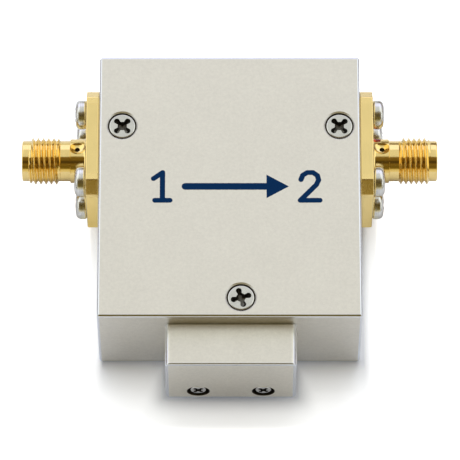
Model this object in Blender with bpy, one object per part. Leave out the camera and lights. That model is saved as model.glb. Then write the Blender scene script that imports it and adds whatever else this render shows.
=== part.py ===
"""Ferrite isolator of the coaxial kind: a nickel-plated box with a threaded jack on its left and right and a
load housing on its front. A Y-junction between two ferrite discs and two magnets passes a signal from one
jack to the other, and leads what comes back into the load.

Metres, +Z up. The device rests on its base at Z = 0. The jacks point to -X and +X, the load housing to -Y.
"""

import math

import bmesh
import bpy
from mathutils import Matrix

MM = 0.001

# Fits that recur, in millimetres
SEAT = 0.03  # left between two pieces that touch or are bonded
SCREW_CLEARANCE = 0.1  # radial, round a screw that passes through
THREAD_FIT = 0.03  # radial, round a screw in its tapped hole
DRILL_PAST = 0.2  # how far a blind hole runs past its screw's end
SMALL_BREAK = 0.1  # the edge break of small turned pieces
OVERCUT = 0.5  # how far a cut runs past the surface that it opens

# Housing, one box open underneath
BODY_W = 35.0
BODY_D = 38.3
BODY_H = 15.0
BODY_FILLET = 0.35
SIDE_WALL = 1.5
TOP_WALL = 2.0
POCKET_CORNER = 1.5

# Inner frame, which carries the junction and closes the underside
FRAME_FLOOR = 2.2
FRAME_SIDE = 3.4  # what the junction's bore leaves of it at each side
JUNCTION_Y = 0.5
JUNCTION_BORE = BODY_W / 2 - SIDE_WALL - FRAME_SIDE
LOAD_TUNNEL_W = 3.6
LOAD_TUNNEL_H = 3.0
LOAD_TUNNEL_CORNER = 0.6
MOUNTING_FROM_SIDE = 5.0
MOUNTING_FROM_END = 4.65
MOUNTING_HOLE = 1.05
MOUNTING_DEPTH = 4.0

# The jacks' axis, which is the height of the signal's path too and a little under the flange's middle
JACK_RISE = 6.86  # behind the junction's middle
JACK_Y = JUNCTION_Y + JACK_RISE
JACK_BELOW_MIDDLE = 0.4
JACK_Z = BODY_H / 2 - JACK_BELOW_MIDDLE

# Cover screws, M2 countersunk, sunk a little below the top face
COVER_SCREW_FROM_SIDE = 2.95
COVER_SCREWS_OFF_CENTRE = 0.15
COVER_SCREW_BEHIND_JACK = 1.49
COVER_SCREW_FROM_FRONT = 2.82
COVER_SCREW_FRONT_X = 1.5
M2 = 1.0
POINT = 0.75
COVER_HEAD = 1.85
COVER_HEAD_LIP = 0.13
COVER_HEAD_SUNK = 0.17
COVER_HEAD_RIM = 0.07
COVER_SCREW_LENGTH = 4.0
COVER_SCREW_TURNS = {"left": 45, "right": 43, "front": 17}
RECESS_DEPTH = 0.85
RECESS_REACH = 1.08
RECESS_HALF = 0.24
COUNTERSINK = 1.95
COUNTERSINK_LIP = 0.3
COUNTERSINK_RIM = 0.1

# Jacks: a rectangular flange with cut corners, and a barrel with the 1/4-36 UNS thread of the SMA standard
FLANGE_T = 1.75
FLANGE_D = 15.5
FLANGE_BELOW_TOP = 0.8
FLANGE_H = BODY_H - 2 * FLANGE_BELOW_TOP
FLANGE_Z = BODY_H / 2
FLANGE_FACE = BODY_W / 2 + SEAT + FLANGE_T
FLANGE_CORNER = 1.6
FLANGE_BEVEL = 0.08
COLLAR_R = 2.98
COLLAR_FOOT = 0.5  # the radius between the collar and the flange
COLLAR_FOOT_STEPS = 2
COLLAR_L = 2.27
COLLAR_END = FLANGE_FACE + COLLAR_L
NECK_R = 2.75
THREAD_R = 3.175
THREAD_ROOT_R = 2.76
THREAD_PITCH = 25.4 / 36
THREAD_TURNS = 6
LEAD_IN_R = 2.74
LEAD_IN_L = 0.92
LEAD_IN_CHAMFER = 0.18
JACK_L = 8.77  # from the flange's face to the tip
JACK_TIP = FLANGE_FACE + JACK_L
JACK_BORE = 2.3
REFERENCE_DEPTH = 1.9  # from the tip to where the dielectric ends, as the standard has it
REFERENCE_PLANE = JACK_TIP - REFERENCE_DEPTH
POTTING_HOLE = 0.36
POTTING_SINK = 1.5
POTTING_SINK_FOOT = 2.3
POTTING_FROM_FLANGE = 1.27

# Dielectric and centre contact of a jack
INSULATOR_R = 2.05
INSULATOR_PAST_WALL = 0.9
INSULATOR_END = BODY_W / 2 - SIDE_WALL - INSULATOR_PAST_WALL
CONTACT_R = 0.635
CONTACT_BORE = 0.465
CONTACT_BORE_DEPTH = 2.6
CONTACT_SLOT = 0.2
CONTACT_SLOT_DEPTH = 2.1
TAIL_R = 0.45
TAIL_L = 2.4  # how far the tail stands out of the dielectric
TAIL_ROOT = 0.5  # how far it starts inside it

# Flange screws, M2 pan head
FLANGE_SCREW_FROM_END = 2.75
FLANGE_SCREW_FROM_TOP = 3.1
PAN_HEAD_R = 1.97
PAN_HEAD_H = 1.6
FLANGE_SCREW_GRIP = 2.69  # in the inner frame's thread
FLANGE_SCREW_LENGTH = FLANGE_T + SIDE_WALL + 2 * SEAT + FLANGE_SCREW_GRIP

# Junction, from its middle outwards, up and down alike
CONDUCTOR_T = 0.24
PLATE_CLEARANCE = 0.3  # radial, between the ground plates and the bore
RING_W = 3.75
RING_GAP = 0.05
RING_R = JUNCTION_BORE - PLATE_CLEARANCE
FERRITE_R = RING_R - RING_W - RING_GAP
FERRITE_T = 1.5
HUB_IN_FERRITE = 3.1
HUB_R = FERRITE_R - HUB_IN_FERRITE
ARM_WIDE = 1.3
ARM_NARROW = 0.8
ARM_FROM_INSULATOR = 0.5
ARM_END = INSULATOR_END - ARM_FROM_INSULATOR
ARM_TAPER = 1.0
ARM_NARROW_L = 1.72
LOAD_ARM_FROM_FRONT = 2.1
LOAD_ARM_END = LOAD_ARM_FROM_FRONT - BODY_D / 2
LOAD_ARM_NARROW_L = 3.6
HUB_STEPS = 10
GROUND_T = 0.5
MAGNET_CLEARANCE = 1.6
POLE_CLEARANCE = 0.6
UPPER_POLE_T = 1.1
PAD_CLEARANCE = 2.1
PAD_T = 0.5
# The magnets fill what the other plates leave between the conductor and the top wall
STACK_ROOM = BODY_H - TOP_WALL - JACK_Z - CONDUCTOR_T / 2
MAGNET_T = STACK_ROOM - FERRITE_T - GROUND_T - UPPER_POLE_T - PAD_T - 6 * SEAT

# Load housing, and the load in it
LOAD_X = 0.15
LOAD_W = 17.4
LOAD_D = 5.92
LOAD_BOTTOM = 1.6
LOAD_BELOW_TOP = 2.1
LOAD_TOP = BODY_H - LOAD_BELOW_TOP
LOAD_CORNER = 0.8
LOAD_FILLET = 0.22
LOAD_SCREW_X = 4.33
LOAD_SCREW_UP = 2.3
LOAD_SCREW_Z = LOAD_BOTTOM + LOAD_SCREW_UP
LOAD_HOLLOW_W = 12.6
LOAD_HOLLOW_OVER_SCREWS = 1.3
LOAD_HOLLOW_BOTTOM = LOAD_SCREW_Z + LOAD_HOLLOW_OVER_SCREWS
LOAD_HOLLOW_ROOF = 1.46
LOAD_HOLLOW_TOP = LOAD_TOP - LOAD_HOLLOW_ROOF
LOAD_HOLLOW_D = 4.5
LOAD_HOLLOW_CORNER = 1.0
M1_4 = 0.7
LOAD_HEAD_R = 1.08
LOAD_HEAD_H = 0.75
LOAD_HEAD_SUNK = 0.15
LOAD_COUNTERBORE = 1.465
LOAD_SCREW_LENGTH = 8.0
CARRIER_W = 9.0
CARRIER_D = 4.1
CARRIER_INSET = 0.2
CHIP_INSET = 0.45
CHIP_W = 5.6
CHIP_D = 3.2
CHIP_T = 0.64
LEAD_W = 1.4
LEAD_T = 0.15
LEAD_ON_ARM = 1.6
LEAD_ON_CHIP = 1.6
LID_T = 0.8
LID_INSET = 0.3

# Sides that round shapes are divided into
BORE_SIDES = 48
DISC_SIDES = 32
BARREL_SIDES = 24
HEAD_SIDES = 16
HOLE_SIDES = 12
SHARP_ANGLE = 40  # edges that turn more than this, in degrees, stay sharp


def clear_scene():
    for obj in list(bpy.data.objects):
        bpy.data.objects.remove(obj)


def material(name, colour, metallic, roughness):
    made = bpy.data.materials.new(name)
    made.use_nodes = True
    shader = made.node_tree.nodes["Principled BSDF"]
    shader.inputs["Base Color"].default_value = (*colour, 1.0)
    shader.inputs["Metallic"].default_value = metallic
    shader.inputs["Roughness"].default_value = roughness
    return made


def solid(name, points, faces, look=None, place=Matrix()):
    """A closed mesh from points in millimetres, its faces turned outwards. Without a look it is a cutter."""
    mesh = bpy.data.meshes.new(name)
    mesh.from_pydata([[c * MM for c in point] for point in points], [], faces)
    made = bmesh.new()
    made.from_mesh(mesh)
    bmesh.ops.recalc_face_normals(made, faces=made.faces)
    made.to_mesh(mesh)
    made.free()
    mesh.shade_smooth()
    mesh.set_sharp_from_angle(angle=math.radians(SHARP_ANGLE))
    obj = bpy.data.objects.new(name, mesh)
    obj.matrix_world = Matrix.Diagonal((MM, MM, MM, 1)) @ place @ Matrix.Diagonal((1 / MM, 1 / MM, 1 / MM, 1))
    bpy.context.scene.collection.objects.link(obj)
    if look:
        mesh.materials.append(look)
    else:
        obj.hide_render = True
        obj.display_type = "WIRE"
    return obj


def prism(name, outline, low, high, axis="Z", look=None):
    """The outline swept along an axis from low to high. It is (x, y) for Z, (y, z) for X and (x, z) for Y."""
    order = {"Z": (0, 1, 2), "X": (2, 0, 1), "Y": (0, 2, 1)}[axis]
    points = []
    for level in (low, high):
        for a, b in outline:
            flat = (a, b, level)
            points.append([flat[i] for i in order])
    n = len(outline)
    faces = [list(range(n)), list(range(n, 2 * n))]
    for i in range(n):
        j = (i + 1) % n
        faces.append([i, j, n + j, n + i])
    return solid(name, points, faces, look)


def rectangle(cx, cy, width, height, corner=0.0, steps=1):
    """A rectangle's outline. Its corners are sharp, cut at 45 degrees (one step) or rounded (more steps)."""
    if not corner:
        corners = ((-1, -1), (1, -1), (1, 1), (-1, 1))
        return [(cx + sx * width / 2, cy + sy * height / 2) for sx, sy in corners]
    outline = []
    for quarter, (sx, sy) in enumerate(((1, 1), (-1, 1), (-1, -1), (1, -1))):
        for step in range(steps + 1):
            turn = (quarter + step / steps) * math.pi / 2
            x = cx + sx * (width / 2 - corner) + corner * math.cos(turn)
            y = cy + sy * (height / 2 - corner) + corner * math.sin(turn)
            outline.append((x, y))
    return outline


def box(name, x, y, z, look=None):
    """A box between two values of x, of y and of z."""
    outline = [(x[0], y[0]), (x[1], y[0]), (x[1], y[1]), (x[0], y[1])]
    return prism(name, outline, z[0], z[1], "Z", look)


def turned(name, profile, place, steps, look=None):
    """A turned piece, whose profile is (distance along the axis, radius). A ring's starts off the axis."""
    points = []
    rows = []
    for along, radius in profile:
        if radius:
            rows.append([len(points) + i for i in range(steps)])
            for i in range(steps):
                turn = 2 * math.pi * (i + 0.5) / steps
                points.append((radius * math.cos(turn), radius * math.sin(turn), along))
        else:
            rows.append([len(points)] * steps)
            points.append((0, 0, along))
    faces = []
    pairs = list(zip(rows, rows[1:]))
    if profile[0][1]:
        pairs.append((rows[-1], rows[0]))
    for first, second in pairs:
        for i in range(steps):
            j = (i + 1) % steps
            face = list(dict.fromkeys([first[i], first[j], second[j], second[i]]))
            if len(face) > 2:
                faces.append(face)
    return solid(name, points, faces, look, place)


def at(x, y, z, towards="+Z"):
    """Where a turned piece lies, with its axis pointing towards one of the six directions."""
    turn = {
        "+Z": Matrix(),
        "-Z": Matrix.Rotation(math.pi, 4, "X"),
        "+X": Matrix.Rotation(math.pi / 2, 4, "Y"),
        "-X": Matrix.Rotation(-math.pi / 2, 4, "Y"),
        "+Y": Matrix.Rotation(-math.pi / 2, 4, "X"),
        "-Y": Matrix.Rotation(math.pi / 2, 4, "X"),
    }[towards]
    return Matrix.Translation((x, y, z)) @ turn


def rod(name, radius, low, high, place, steps):
    return turned(name, [(low, 0), (low, radius), (high, radius), (high, 0)], place, steps)


def combine(obj, other, operation):
    step = obj.modifiers.new(other.name, "BOOLEAN")
    step.operation = operation
    step.solver = "EXACT"
    step.object = other


def cut(obj, *cutters):
    for cutter in cutters:
        combine(obj, cutter, "DIFFERENCE")


def join(obj, *others):
    for other in others:
        combine(obj, other, "UNION")


def round_edges(obj, width, steps):
    step = obj.modifiers.new("edges", "BEVEL")
    step.width = width * MM
    step.segments = steps
    step.limit_method = "ANGLE"
    step.angle_limit = math.radians(SHARP_ANGLE)


def cross_recess(screw, top, depth, reach, half, turn=0.0):
    """A cross cut into a screw's head from its top, with four arms that taper as they go down."""
    points = []
    for level, length, width in ((top + 0.1, reach, half), (top - depth, 0.45 * reach, 0.7 * half)):
        for quarter in range(4):
            a = turn + quarter * math.pi / 2
            for x, y in ((length, -width), (length, width), (width, width)):
                points.append((x * math.cos(a) - y * math.sin(a), x * math.sin(a) + y * math.cos(a), level))
    faces = [list(range(12)), list(range(12, 24))]
    for i in range(12):
        j = (i + 1) % 12
        faces.append([i, j, 12 + j, 12 + i])
    cutter = solid(screw.name + "_recess", points, faces)
    cutter.matrix_world = screw.matrix_world
    cut(screw, cutter)


def countersunk_screw(name, x, y, turn, look):
    """M2 countersunk screw, seen from its head down: a bevelled rim, a short lip, the cone and the shank."""
    shank_end = COVER_HEAD_SUNK - COVER_SCREW_LENGTH
    cone_end = -COVER_HEAD_LIP - (COVER_HEAD - M2)
    profile = [
        (shank_end, 0),
        (shank_end, POINT * M2),
        (shank_end + 0.3 * M2, M2),
        (cone_end, M2),
        (-COVER_HEAD_LIP, COVER_HEAD),
        (-COVER_HEAD_RIM, COVER_HEAD),
        (0, COVER_HEAD - SMALL_BREAK),
        (0, 0),
    ]
    screw = turned(name, profile, at(x, y, BODY_H - COVER_HEAD_SUNK), HEAD_SIDES, look)
    cross_recess(screw, 0, RECESS_DEPTH, RECESS_REACH, RECESS_HALF, turn)
    return screw


def countersink(name, x, y):
    """The hole that a cover screw sits in: a small rim, a short bore, the cone and the clearance hole."""
    hole = M2 + SCREW_CLEARANCE
    lip_end = -COUNTERSINK_LIP
    cone_end = lip_end - (COUNTERSINK - hole)
    profile = [
        (-TOP_WALL - OVERCUT, 0),
        (-TOP_WALL - OVERCUT, hole),
        (cone_end, hole),
        (lip_end, COUNTERSINK),
        (-COUNTERSINK_RIM, COUNTERSINK),
        (0, COUNTERSINK + COUNTERSINK_RIM),
        (OVERCUT, COUNTERSINK + COUNTERSINK_RIM),
        (OVERCUT, 0),
    ]
    return turned(name, profile, at(x, y, BODY_H), BARREL_SIDES)


def pan_screw(name, place, radius, head_radius, head_height, length, look):
    """A pan-head screw. Its head's side is straight below and rounded above, into a slightly domed top."""
    straight = 0.4 * head_height
    profile = [
        (-length, 0),
        (-length, POINT * radius),
        (0.3 * radius - length, radius),
        (0, radius),
        (0, head_radius),
    ]
    for step in range(4):
        turn = step / 3 * math.radians(78)
        profile.append((
            straight + (head_height - straight) * math.sin(turn),
            head_radius * (0.62 + 0.38 * math.cos(turn)),
        ))
    profile.append((head_height, 0))
    return turned(name, profile, place, HEAD_SIDES, look)


def make_housing(look):
    """The outer box, milled from one block: open underneath, bored for the jacks, the screws and the lead."""
    housing = box("housing", (-BODY_W / 2, BODY_W / 2), (-BODY_D / 2, BODY_D / 2), (0, BODY_H), look)
    round_edges(housing, BODY_FILLET, 2)
    inside = rectangle(0, 0, BODY_W - 2 * SIDE_WALL, BODY_D - 2 * SIDE_WALL, POCKET_CORNER, 5)
    cut(housing, prism("housing_inside", inside, -OVERCUT, BODY_H - TOP_WALL))
    for name, (x, y) in cover_screw_places().items():
        cut(housing, countersink(name + "_sink", x, y))
    wall = (BODY_W / 2 - SIDE_WALL - OVERCUT, BODY_W / 2 + OVERCUT)
    for side, towards in (("left", "-X"), ("right", "+X")):
        axis = at(0, JACK_Y, JACK_Z, towards)
        cut(housing, rod(side + "_wall_bore", INSULATOR_R + SCREW_CLEARANCE, *wall, axis, BARREL_SIDES))
        for corner, (y, z) in flange_screw_places().items():
            name = f"{side}_{corner}_wall_hole"
            cut(housing, rod(name, M2 + SCREW_CLEARANCE, *wall, at(0, y, z, towards), HOLE_SIDES))
    front = (-BODY_D / 2 - OVERCUT, -BODY_D / 2 + SIDE_WALL + OVERCUT)
    window = rectangle(0, JACK_Z, LOAD_TUNNEL_W, LOAD_TUNNEL_H, LOAD_TUNNEL_CORNER, 4)
    cut(housing, prism("load_window", window, *front, "Y"))
    for name, x in load_screw_places().items():
        place = at(x, 0, LOAD_SCREW_Z, "+Y")
        cut(housing, rod(name + "_wall_hole", M1_4 + SCREW_CLEARANCE, *front, place, HOLE_SIDES))
    return housing


def make_inner_frame(look):
    """The block inside the housing, bored out from above for the junction and tapped for every screw."""
    width = BODY_W - 2 * SIDE_WALL - 2 * SEAT
    depth = BODY_D - 2 * SIDE_WALL - 2 * SEAT
    top = BODY_H - TOP_WALL - SEAT
    frame = prism("inner_frame", rectangle(0, 0, width, depth, POCKET_CORNER, 5), 0, top, "Z", look)
    middle = at(0, JUNCTION_Y, 0)
    cut(frame, rod("junction_bore", JUNCTION_BORE, FRAME_FLOOR, top + OVERCUT, middle, BORE_SIDES))
    tapped = M2 + THREAD_FIT
    for name, (x, y) in cover_screw_places().items():
        reach = BODY_H - COVER_SCREW_LENGTH - DRILL_PAST
        cut(frame, rod(name + "_tapped", tapped, reach, top + OVERCUT, at(x, y, 0), HOLE_SIDES))
    tunnel = INSULATOR_R + SCREW_CLEARANCE
    inner = math.sqrt(JUNCTION_BORE**2 - (JACK_RISE + tunnel) ** 2) - OVERCUT
    screw_tip = FLANGE_FACE + SEAT - FLANGE_SCREW_LENGTH
    for side, towards in (("left", "-X"), ("right", "+X")):
        axis = at(0, JACK_Y, JACK_Z, towards)
        cut(frame, rod(side + "_tunnel", tunnel, inner, width / 2 + OVERCUT, axis, BARREL_SIDES))
        for corner, (y, z) in flange_screw_places().items():
            name = f"{side}_{corner}_tapped"
            axis = at(0, y, z, towards)
            cut(frame, rod(name, tapped, screw_tip - DRILL_PAST, width / 2 + OVERCUT, axis, HOLE_SIDES))
    tunnel_section = rectangle(0, JACK_Z, LOAD_TUNNEL_W, LOAD_TUNNEL_H, LOAD_TUNNEL_CORNER, 4)
    tunnel_end = JUNCTION_Y - math.sqrt(JUNCTION_BORE**2 - LOAD_TUNNEL_W**2 / 4) + OVERCUT
    cut(frame, prism("load_tunnel", tunnel_section, -depth / 2 - OVERCUT, tunnel_end, "Y"))
    for name, x in load_screw_places().items():
        place = at(x, 0, LOAD_SCREW_Z, "+Y")
        hole_end = load_screw_seat() + LOAD_SCREW_LENGTH + DRILL_PAST
        tap = M1_4 + THREAD_FIT
        cut(frame, rod(name + "_tapped", tap, -depth / 2 - OVERCUT, hole_end, place, HOLE_SIDES))
    for side, sx in (("left", -1), ("right", 1)):
        for end, sy in (("front", -1), ("back", 1)):
            name = f"mounting_hole_{side}_{end}"
            place = at(sx * (BODY_W / 2 - MOUNTING_FROM_SIDE), sy * (BODY_D / 2 - MOUNTING_FROM_END), 0)
            cut(frame, rod(name, MOUNTING_HOLE, -OVERCUT, MOUNTING_DEPTH, place, HOLE_SIDES))
    return frame


def cover_screw_places():
    x = BODY_W / 2 - COVER_SCREW_FROM_SIDE
    y = JACK_Y + COVER_SCREW_BEHIND_JACK
    front = (COVER_SCREW_FRONT_X, COVER_SCREW_FROM_FRONT - BODY_D / 2)
    left = COVER_SCREWS_OFF_CENTRE - x
    right = COVER_SCREWS_OFF_CENTRE + x
    return {"cover_screw_left": (left, y), "cover_screw_right": (right, y), "cover_screw_front": front}


def flange_screw_places():
    y = FLANGE_D / 2 - FLANGE_SCREW_FROM_END
    z = FLANGE_H / 2 - FLANGE_SCREW_FROM_TOP
    return {
        f"{level}_{depth}": (JACK_Y + sy * y, FLANGE_Z + sz * z)
        for level, sz in (("upper", 1), ("lower", -1))
        for depth, sy in (("back", 1), ("front", -1))
    }


def load_screw_places():
    return {"load_screw_left": LOAD_X - LOAD_SCREW_X, "load_screw_right": LOAD_X + LOAD_SCREW_X}


def load_front():
    return -BODY_D / 2 - SEAT - LOAD_D


def load_screw_seat():
    """The y of the step that a load screw's head bears on."""
    return load_front() + LOAD_HEAD_SUNK + LOAD_HEAD_H


def thread_profile(start):
    """Crests and roots of the jack's thread, as rings, from start outwards."""
    flat = THREAD_PITCH / 8
    slope = (THREAD_PITCH - 3 * flat) / 2
    profile = []
    for turn in range(THREAD_TURNS):
        foot = start + turn * THREAD_PITCH
        profile += [
            (foot, THREAD_ROOT_R),
            (foot + slope, THREAD_R),
            (foot + slope + flat, THREAD_R),
            (foot + 2 * slope + flat, THREAD_ROOT_R),
        ]
    return profile


def make_jack(side, towards, golden, white):
    """One jack: flange and barrel in one piece, the dielectric, and a slotted contact with a flat tail."""
    inner_face = FLANGE_FACE - FLANGE_T
    sign = 1 if towards == "+X" else -1
    axis = at(0, JACK_Y, JACK_Z, towards)

    plate = rectangle(JACK_Y, FLANGE_Z, FLANGE_D, FLANGE_H, FLANGE_CORNER, 1)
    levels = sorted((sign * inner_face, sign * FLANGE_FACE))
    body = prism(side + "_connector_body", plate, *levels, "X", golden)
    round_edges(body, FLANGE_BEVEL, 1)
    thread_start = JACK_TIP - LEAD_IN_L - THREAD_TURNS * THREAD_PITCH
    barrel = [
        (FLANGE_FACE - OVERCUT, 0),
        (FLANGE_FACE - OVERCUT, COLLAR_R + COLLAR_FOOT),
    ]
    for step in range(COLLAR_FOOT_STEPS + 1):
        turn = step / COLLAR_FOOT_STEPS * math.pi / 2
        level = FLANGE_FACE + COLLAR_FOOT * (1 - math.cos(turn))
        barrel.append((level, COLLAR_R + COLLAR_FOOT * (1 - math.sin(turn))))
    barrel += [
        (COLLAR_END - SMALL_BREAK, COLLAR_R),
        (COLLAR_END, COLLAR_R - SMALL_BREAK),
        (COLLAR_END, NECK_R),
        *thread_profile(thread_start),
        (JACK_TIP - LEAD_IN_CHAMFER, LEAD_IN_R),
        (JACK_TIP, LEAD_IN_R - LEAD_IN_CHAMFER),
        (JACK_TIP, 0),
    ]
    outside = turned(side + "_barrel", barrel, axis, BARREL_SIDES)
    join(body, outside)
    bore = [
        (inner_face - OVERCUT, 0),
        (inner_face - OVERCUT, INSULATOR_R + SEAT),
        (REFERENCE_PLANE, INSULATOR_R + SEAT),
        (REFERENCE_PLANE, JACK_BORE),
        (JACK_TIP + OVERCUT, JACK_BORE),
        (JACK_TIP + OVERCUT, 0),
    ]
    cut(body, turned(side + "_barrel_bore", bore, axis, BARREL_SIDES))
    for corner, (y, z) in flange_screw_places().items():
        hole = rod(
            f"{side}_{corner}_flange_hole",
            M2 + SCREW_CLEARANCE,
            inner_face - OVERCUT,
            FLANGE_FACE + OVERCUT,
            at(0, y, z, towards),
            HOLE_SIDES,
        )
        cut(body, hole)
    potting = [
        (CONTACT_R, 0),
        (CONTACT_R, POTTING_HOLE),
        (POTTING_SINK_FOOT, POTTING_HOLE),
        (COLLAR_R + OVERCUT, POTTING_SINK),
        (COLLAR_R + OVERCUT, 0),
    ]
    place = at(sign * (FLANGE_FACE + POTTING_FROM_FLANGE), JACK_Y, JACK_Z)
    cut(body, turned(side + "_potting_hole", potting, place, HOLE_SIDES))

    tube = [
        (INSULATOR_END, CONTACT_R + SEAT),
        (INSULATOR_END, INSULATOR_R),
        (REFERENCE_PLANE, INSULATOR_R),
        (REFERENCE_PLANE, CONTACT_R + SEAT),
    ]
    turned(side + "_insulator", tube, axis, BARREL_SIDES, white)

    tail_end = INSULATOR_END - TAIL_L
    pin = [
        (tail_end, 0),
        (tail_end, TAIL_R),
        (INSULATOR_END + TAIL_ROOT, TAIL_R),
        (INSULATOR_END + TAIL_ROOT, CONTACT_R),
        (REFERENCE_PLANE - 0.5 * SMALL_BREAK, CONTACT_R),
        (REFERENCE_PLANE, CONTACT_R - 0.5 * SMALL_BREAK),
        (REFERENCE_PLANE, CONTACT_BORE + 0.5 * SMALL_BREAK),
        (REFERENCE_PLANE - 0.5 * SMALL_BREAK, CONTACT_BORE),
        (REFERENCE_PLANE - CONTACT_BORE_DEPTH, CONTACT_BORE),
        (REFERENCE_PLANE - CONTACT_BORE_DEPTH - 0.5 * CONTACT_BORE, 0),
    ]
    contact = turned(side + "_centre_contact", pin, axis, HOLE_SIDES, golden)
    slot = sorted((sign * (REFERENCE_PLANE - CONTACT_SLOT_DEPTH), sign * (REFERENCE_PLANE + OVERCUT)))
    narrow = CONTACT_SLOT / 2
    for name, dy, dz in (("upright", narrow, INSULATOR_R), ("level", INSULATOR_R, narrow)):
        cut(contact, box(f"{side}_{name}_slot", slot, (JACK_Y - dy, JACK_Y + dy), (JACK_Z - dz, JACK_Z + dz)))
    under = JACK_Z + CONDUCTOR_T / 2 + SEAT
    tail = sorted((sign * (tail_end - OVERCUT), sign * (ARM_END + SEAT)))
    around = (JACK_Y - INSULATOR_R, JACK_Y + INSULATOR_R)
    cut(contact, box(side + "_tail_flat", tail, around, (JACK_Z - INSULATOR_R, under)))


def make_flange_screws(side, towards, look):
    sign = 1 if towards == "+X" else -1
    seat = FLANGE_FACE + SEAT
    for number, (corner, (y, z)) in enumerate(flange_screw_places().items()):
        place = at(sign * seat, y, z, towards)
        name = f"{side}_flange_screw_{corner}"
        screw = pan_screw(name, place, M2, PAN_HEAD_R, PAN_HEAD_H, FLANGE_SCREW_LENGTH, look)
        cross_recess(screw, PAN_HEAD_H, RECESS_DEPTH, RECESS_REACH, RECESS_HALF, 0.35 + 0.5 * number)


def ribbon(points, halves):
    """The left and right edges of a strip along points, with a half width at each, mitred where it bends."""
    left = []
    right = []
    for i, (x, y) in enumerate(points):
        normals = []
        for a, b in ((i - 1, i), (i, i + 1)):
            if a >= 0 and b < len(points):
                dx = points[b][0] - points[a][0]
                dy = points[b][1] - points[a][1]
                size = math.hypot(dx, dy)
                normals.append((-dy / size, dx / size))
        nx = sum(n[0] for n in normals)
        ny = sum(n[1] for n in normals)
        scale = halves[i] * len(normals) / (nx * nx + ny * ny)
        left.append((x + nx * scale, y + ny * scale))
        right.append((x - nx * scale, y - ny * scale))
    return left, right


def make_centre_conductor(look):
    """The junction's Y, cut from sheet. Three arms leave a round hub, 120 degrees apart. The two back arms
    bend where they enter their tunnels and narrow towards the jacks' tails. The front arm runs to the load."""
    spread = math.asin(ARM_WIDE / HUB_R)
    bend = ARM_END - ARM_NARROW_L - ARM_TAPER
    lean = math.degrees(math.atan2(JACK_RISE, bend))
    arms = []
    back = [(0, 0), (bend, JACK_RISE), (bend + ARM_TAPER, JACK_RISE), (ARM_END, JACK_RISE)]
    left, right = ribbon(back, [ARM_WIDE, ARM_WIDE, ARM_NARROW, ARM_NARROW])
    arms.append((lean, right[1:] + left[:0:-1]))
    arms.append((180 - lean, [(-x, y) for x, y in left[1:]] + [(-x, y) for x, y in right[:0:-1]]))
    end = LOAD_ARM_END - JUNCTION_Y
    narrows = end + LOAD_ARM_NARROW_L
    front = [(-ARM_WIDE, narrows + ARM_TAPER), (-ARM_NARROW, narrows), (-ARM_NARROW, end)]
    arms.append((270, front + [(-x, y) for x, y in reversed(front)]))
    outline = []
    angles = [math.radians(angle) for angle, _ in arms]
    for middle, after, (_, arm) in zip(angles, [*angles[1:], angles[0] + 2 * math.pi], arms):
        outline.append((HUB_R * math.cos(middle - spread), HUB_R * math.sin(middle - spread)))
        outline += arm
        start = middle + spread
        stop = after - spread
        for i in range(HUB_STEPS):
            turn = start + (stop - start) * i / HUB_STEPS
            outline.append((HUB_R * math.cos(turn), HUB_R * math.sin(turn)))
    outline = [(x, y + JUNCTION_Y) for x, y in outline]
    prism("centre_conductor", outline, JACK_Z - CONDUCTOR_T / 2, JACK_Z + CONDUCTOR_T / 2, "Z", look)


def disc(name, radius, low, high, look, chamfer=0.0):
    """A round plate of the junction's stack, plain or with a small ground chamfer on each rim."""
    profile = [(low, 0), (low, radius), (high, radius), (high, 0)]
    if chamfer:
        profile[1:3] = [
            (low, radius - chamfer),
            (low + chamfer, radius),
            (high - chamfer, radius),
            (high, radius - chamfer),
        ]
    return turned(name, profile, at(0, JUNCTION_Y, 0), DISC_SIDES, look)


def make_stack(looks):
    """The junction's plates on each side of the centre conductor, each seated on the one before it."""
    pole = JUNCTION_BORE - POLE_CLEARANCE
    for half, sign in (("lower", -1), ("upper", 1)):
        level = JACK_Z + sign * CONDUCTOR_T / 2
        for piece, thickness in (("ferrite", FERRITE_T), ("ground_plate", GROUND_T), ("magnet", MAGNET_T)):
            near = level + sign * SEAT
            far = near + sign * thickness
            low, high = sorted((near, far))
            if piece == "ferrite":
                disc(f"{half}_ferrite", FERRITE_R, low, high, looks["ferrite"], 0.1)
                inner = FERRITE_R + RING_GAP
                section = [(low, inner), (low, RING_R), (high, RING_R), (high, inner)]
                turned(f"{half}_dielectric_ring", section, at(0, JUNCTION_Y, 0), DISC_SIDES, looks["ceramic"])
            elif piece == "ground_plate":
                disc(f"{half}_ground_plate", RING_R, low, high, looks["silver"])
            else:
                disc(f"{half}_magnet", JUNCTION_BORE - MAGNET_CLEARANCE, low, high, looks["magnet"])
            level = far
        if half == "lower":
            disc("lower_pole_piece", pole, FRAME_FLOOR + SEAT, level - SEAT, looks["steel"])
        else:
            pad_top = BODY_H - TOP_WALL - SEAT
            disc("upper_pole_piece", pole, level + SEAT, level + SEAT + UPPER_POLE_T, looks["steel"])
            disc("compression_pad", JUNCTION_BORE - PAD_CLEARANCE, pad_top - PAD_T, pad_top, looks["rubber"])


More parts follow.
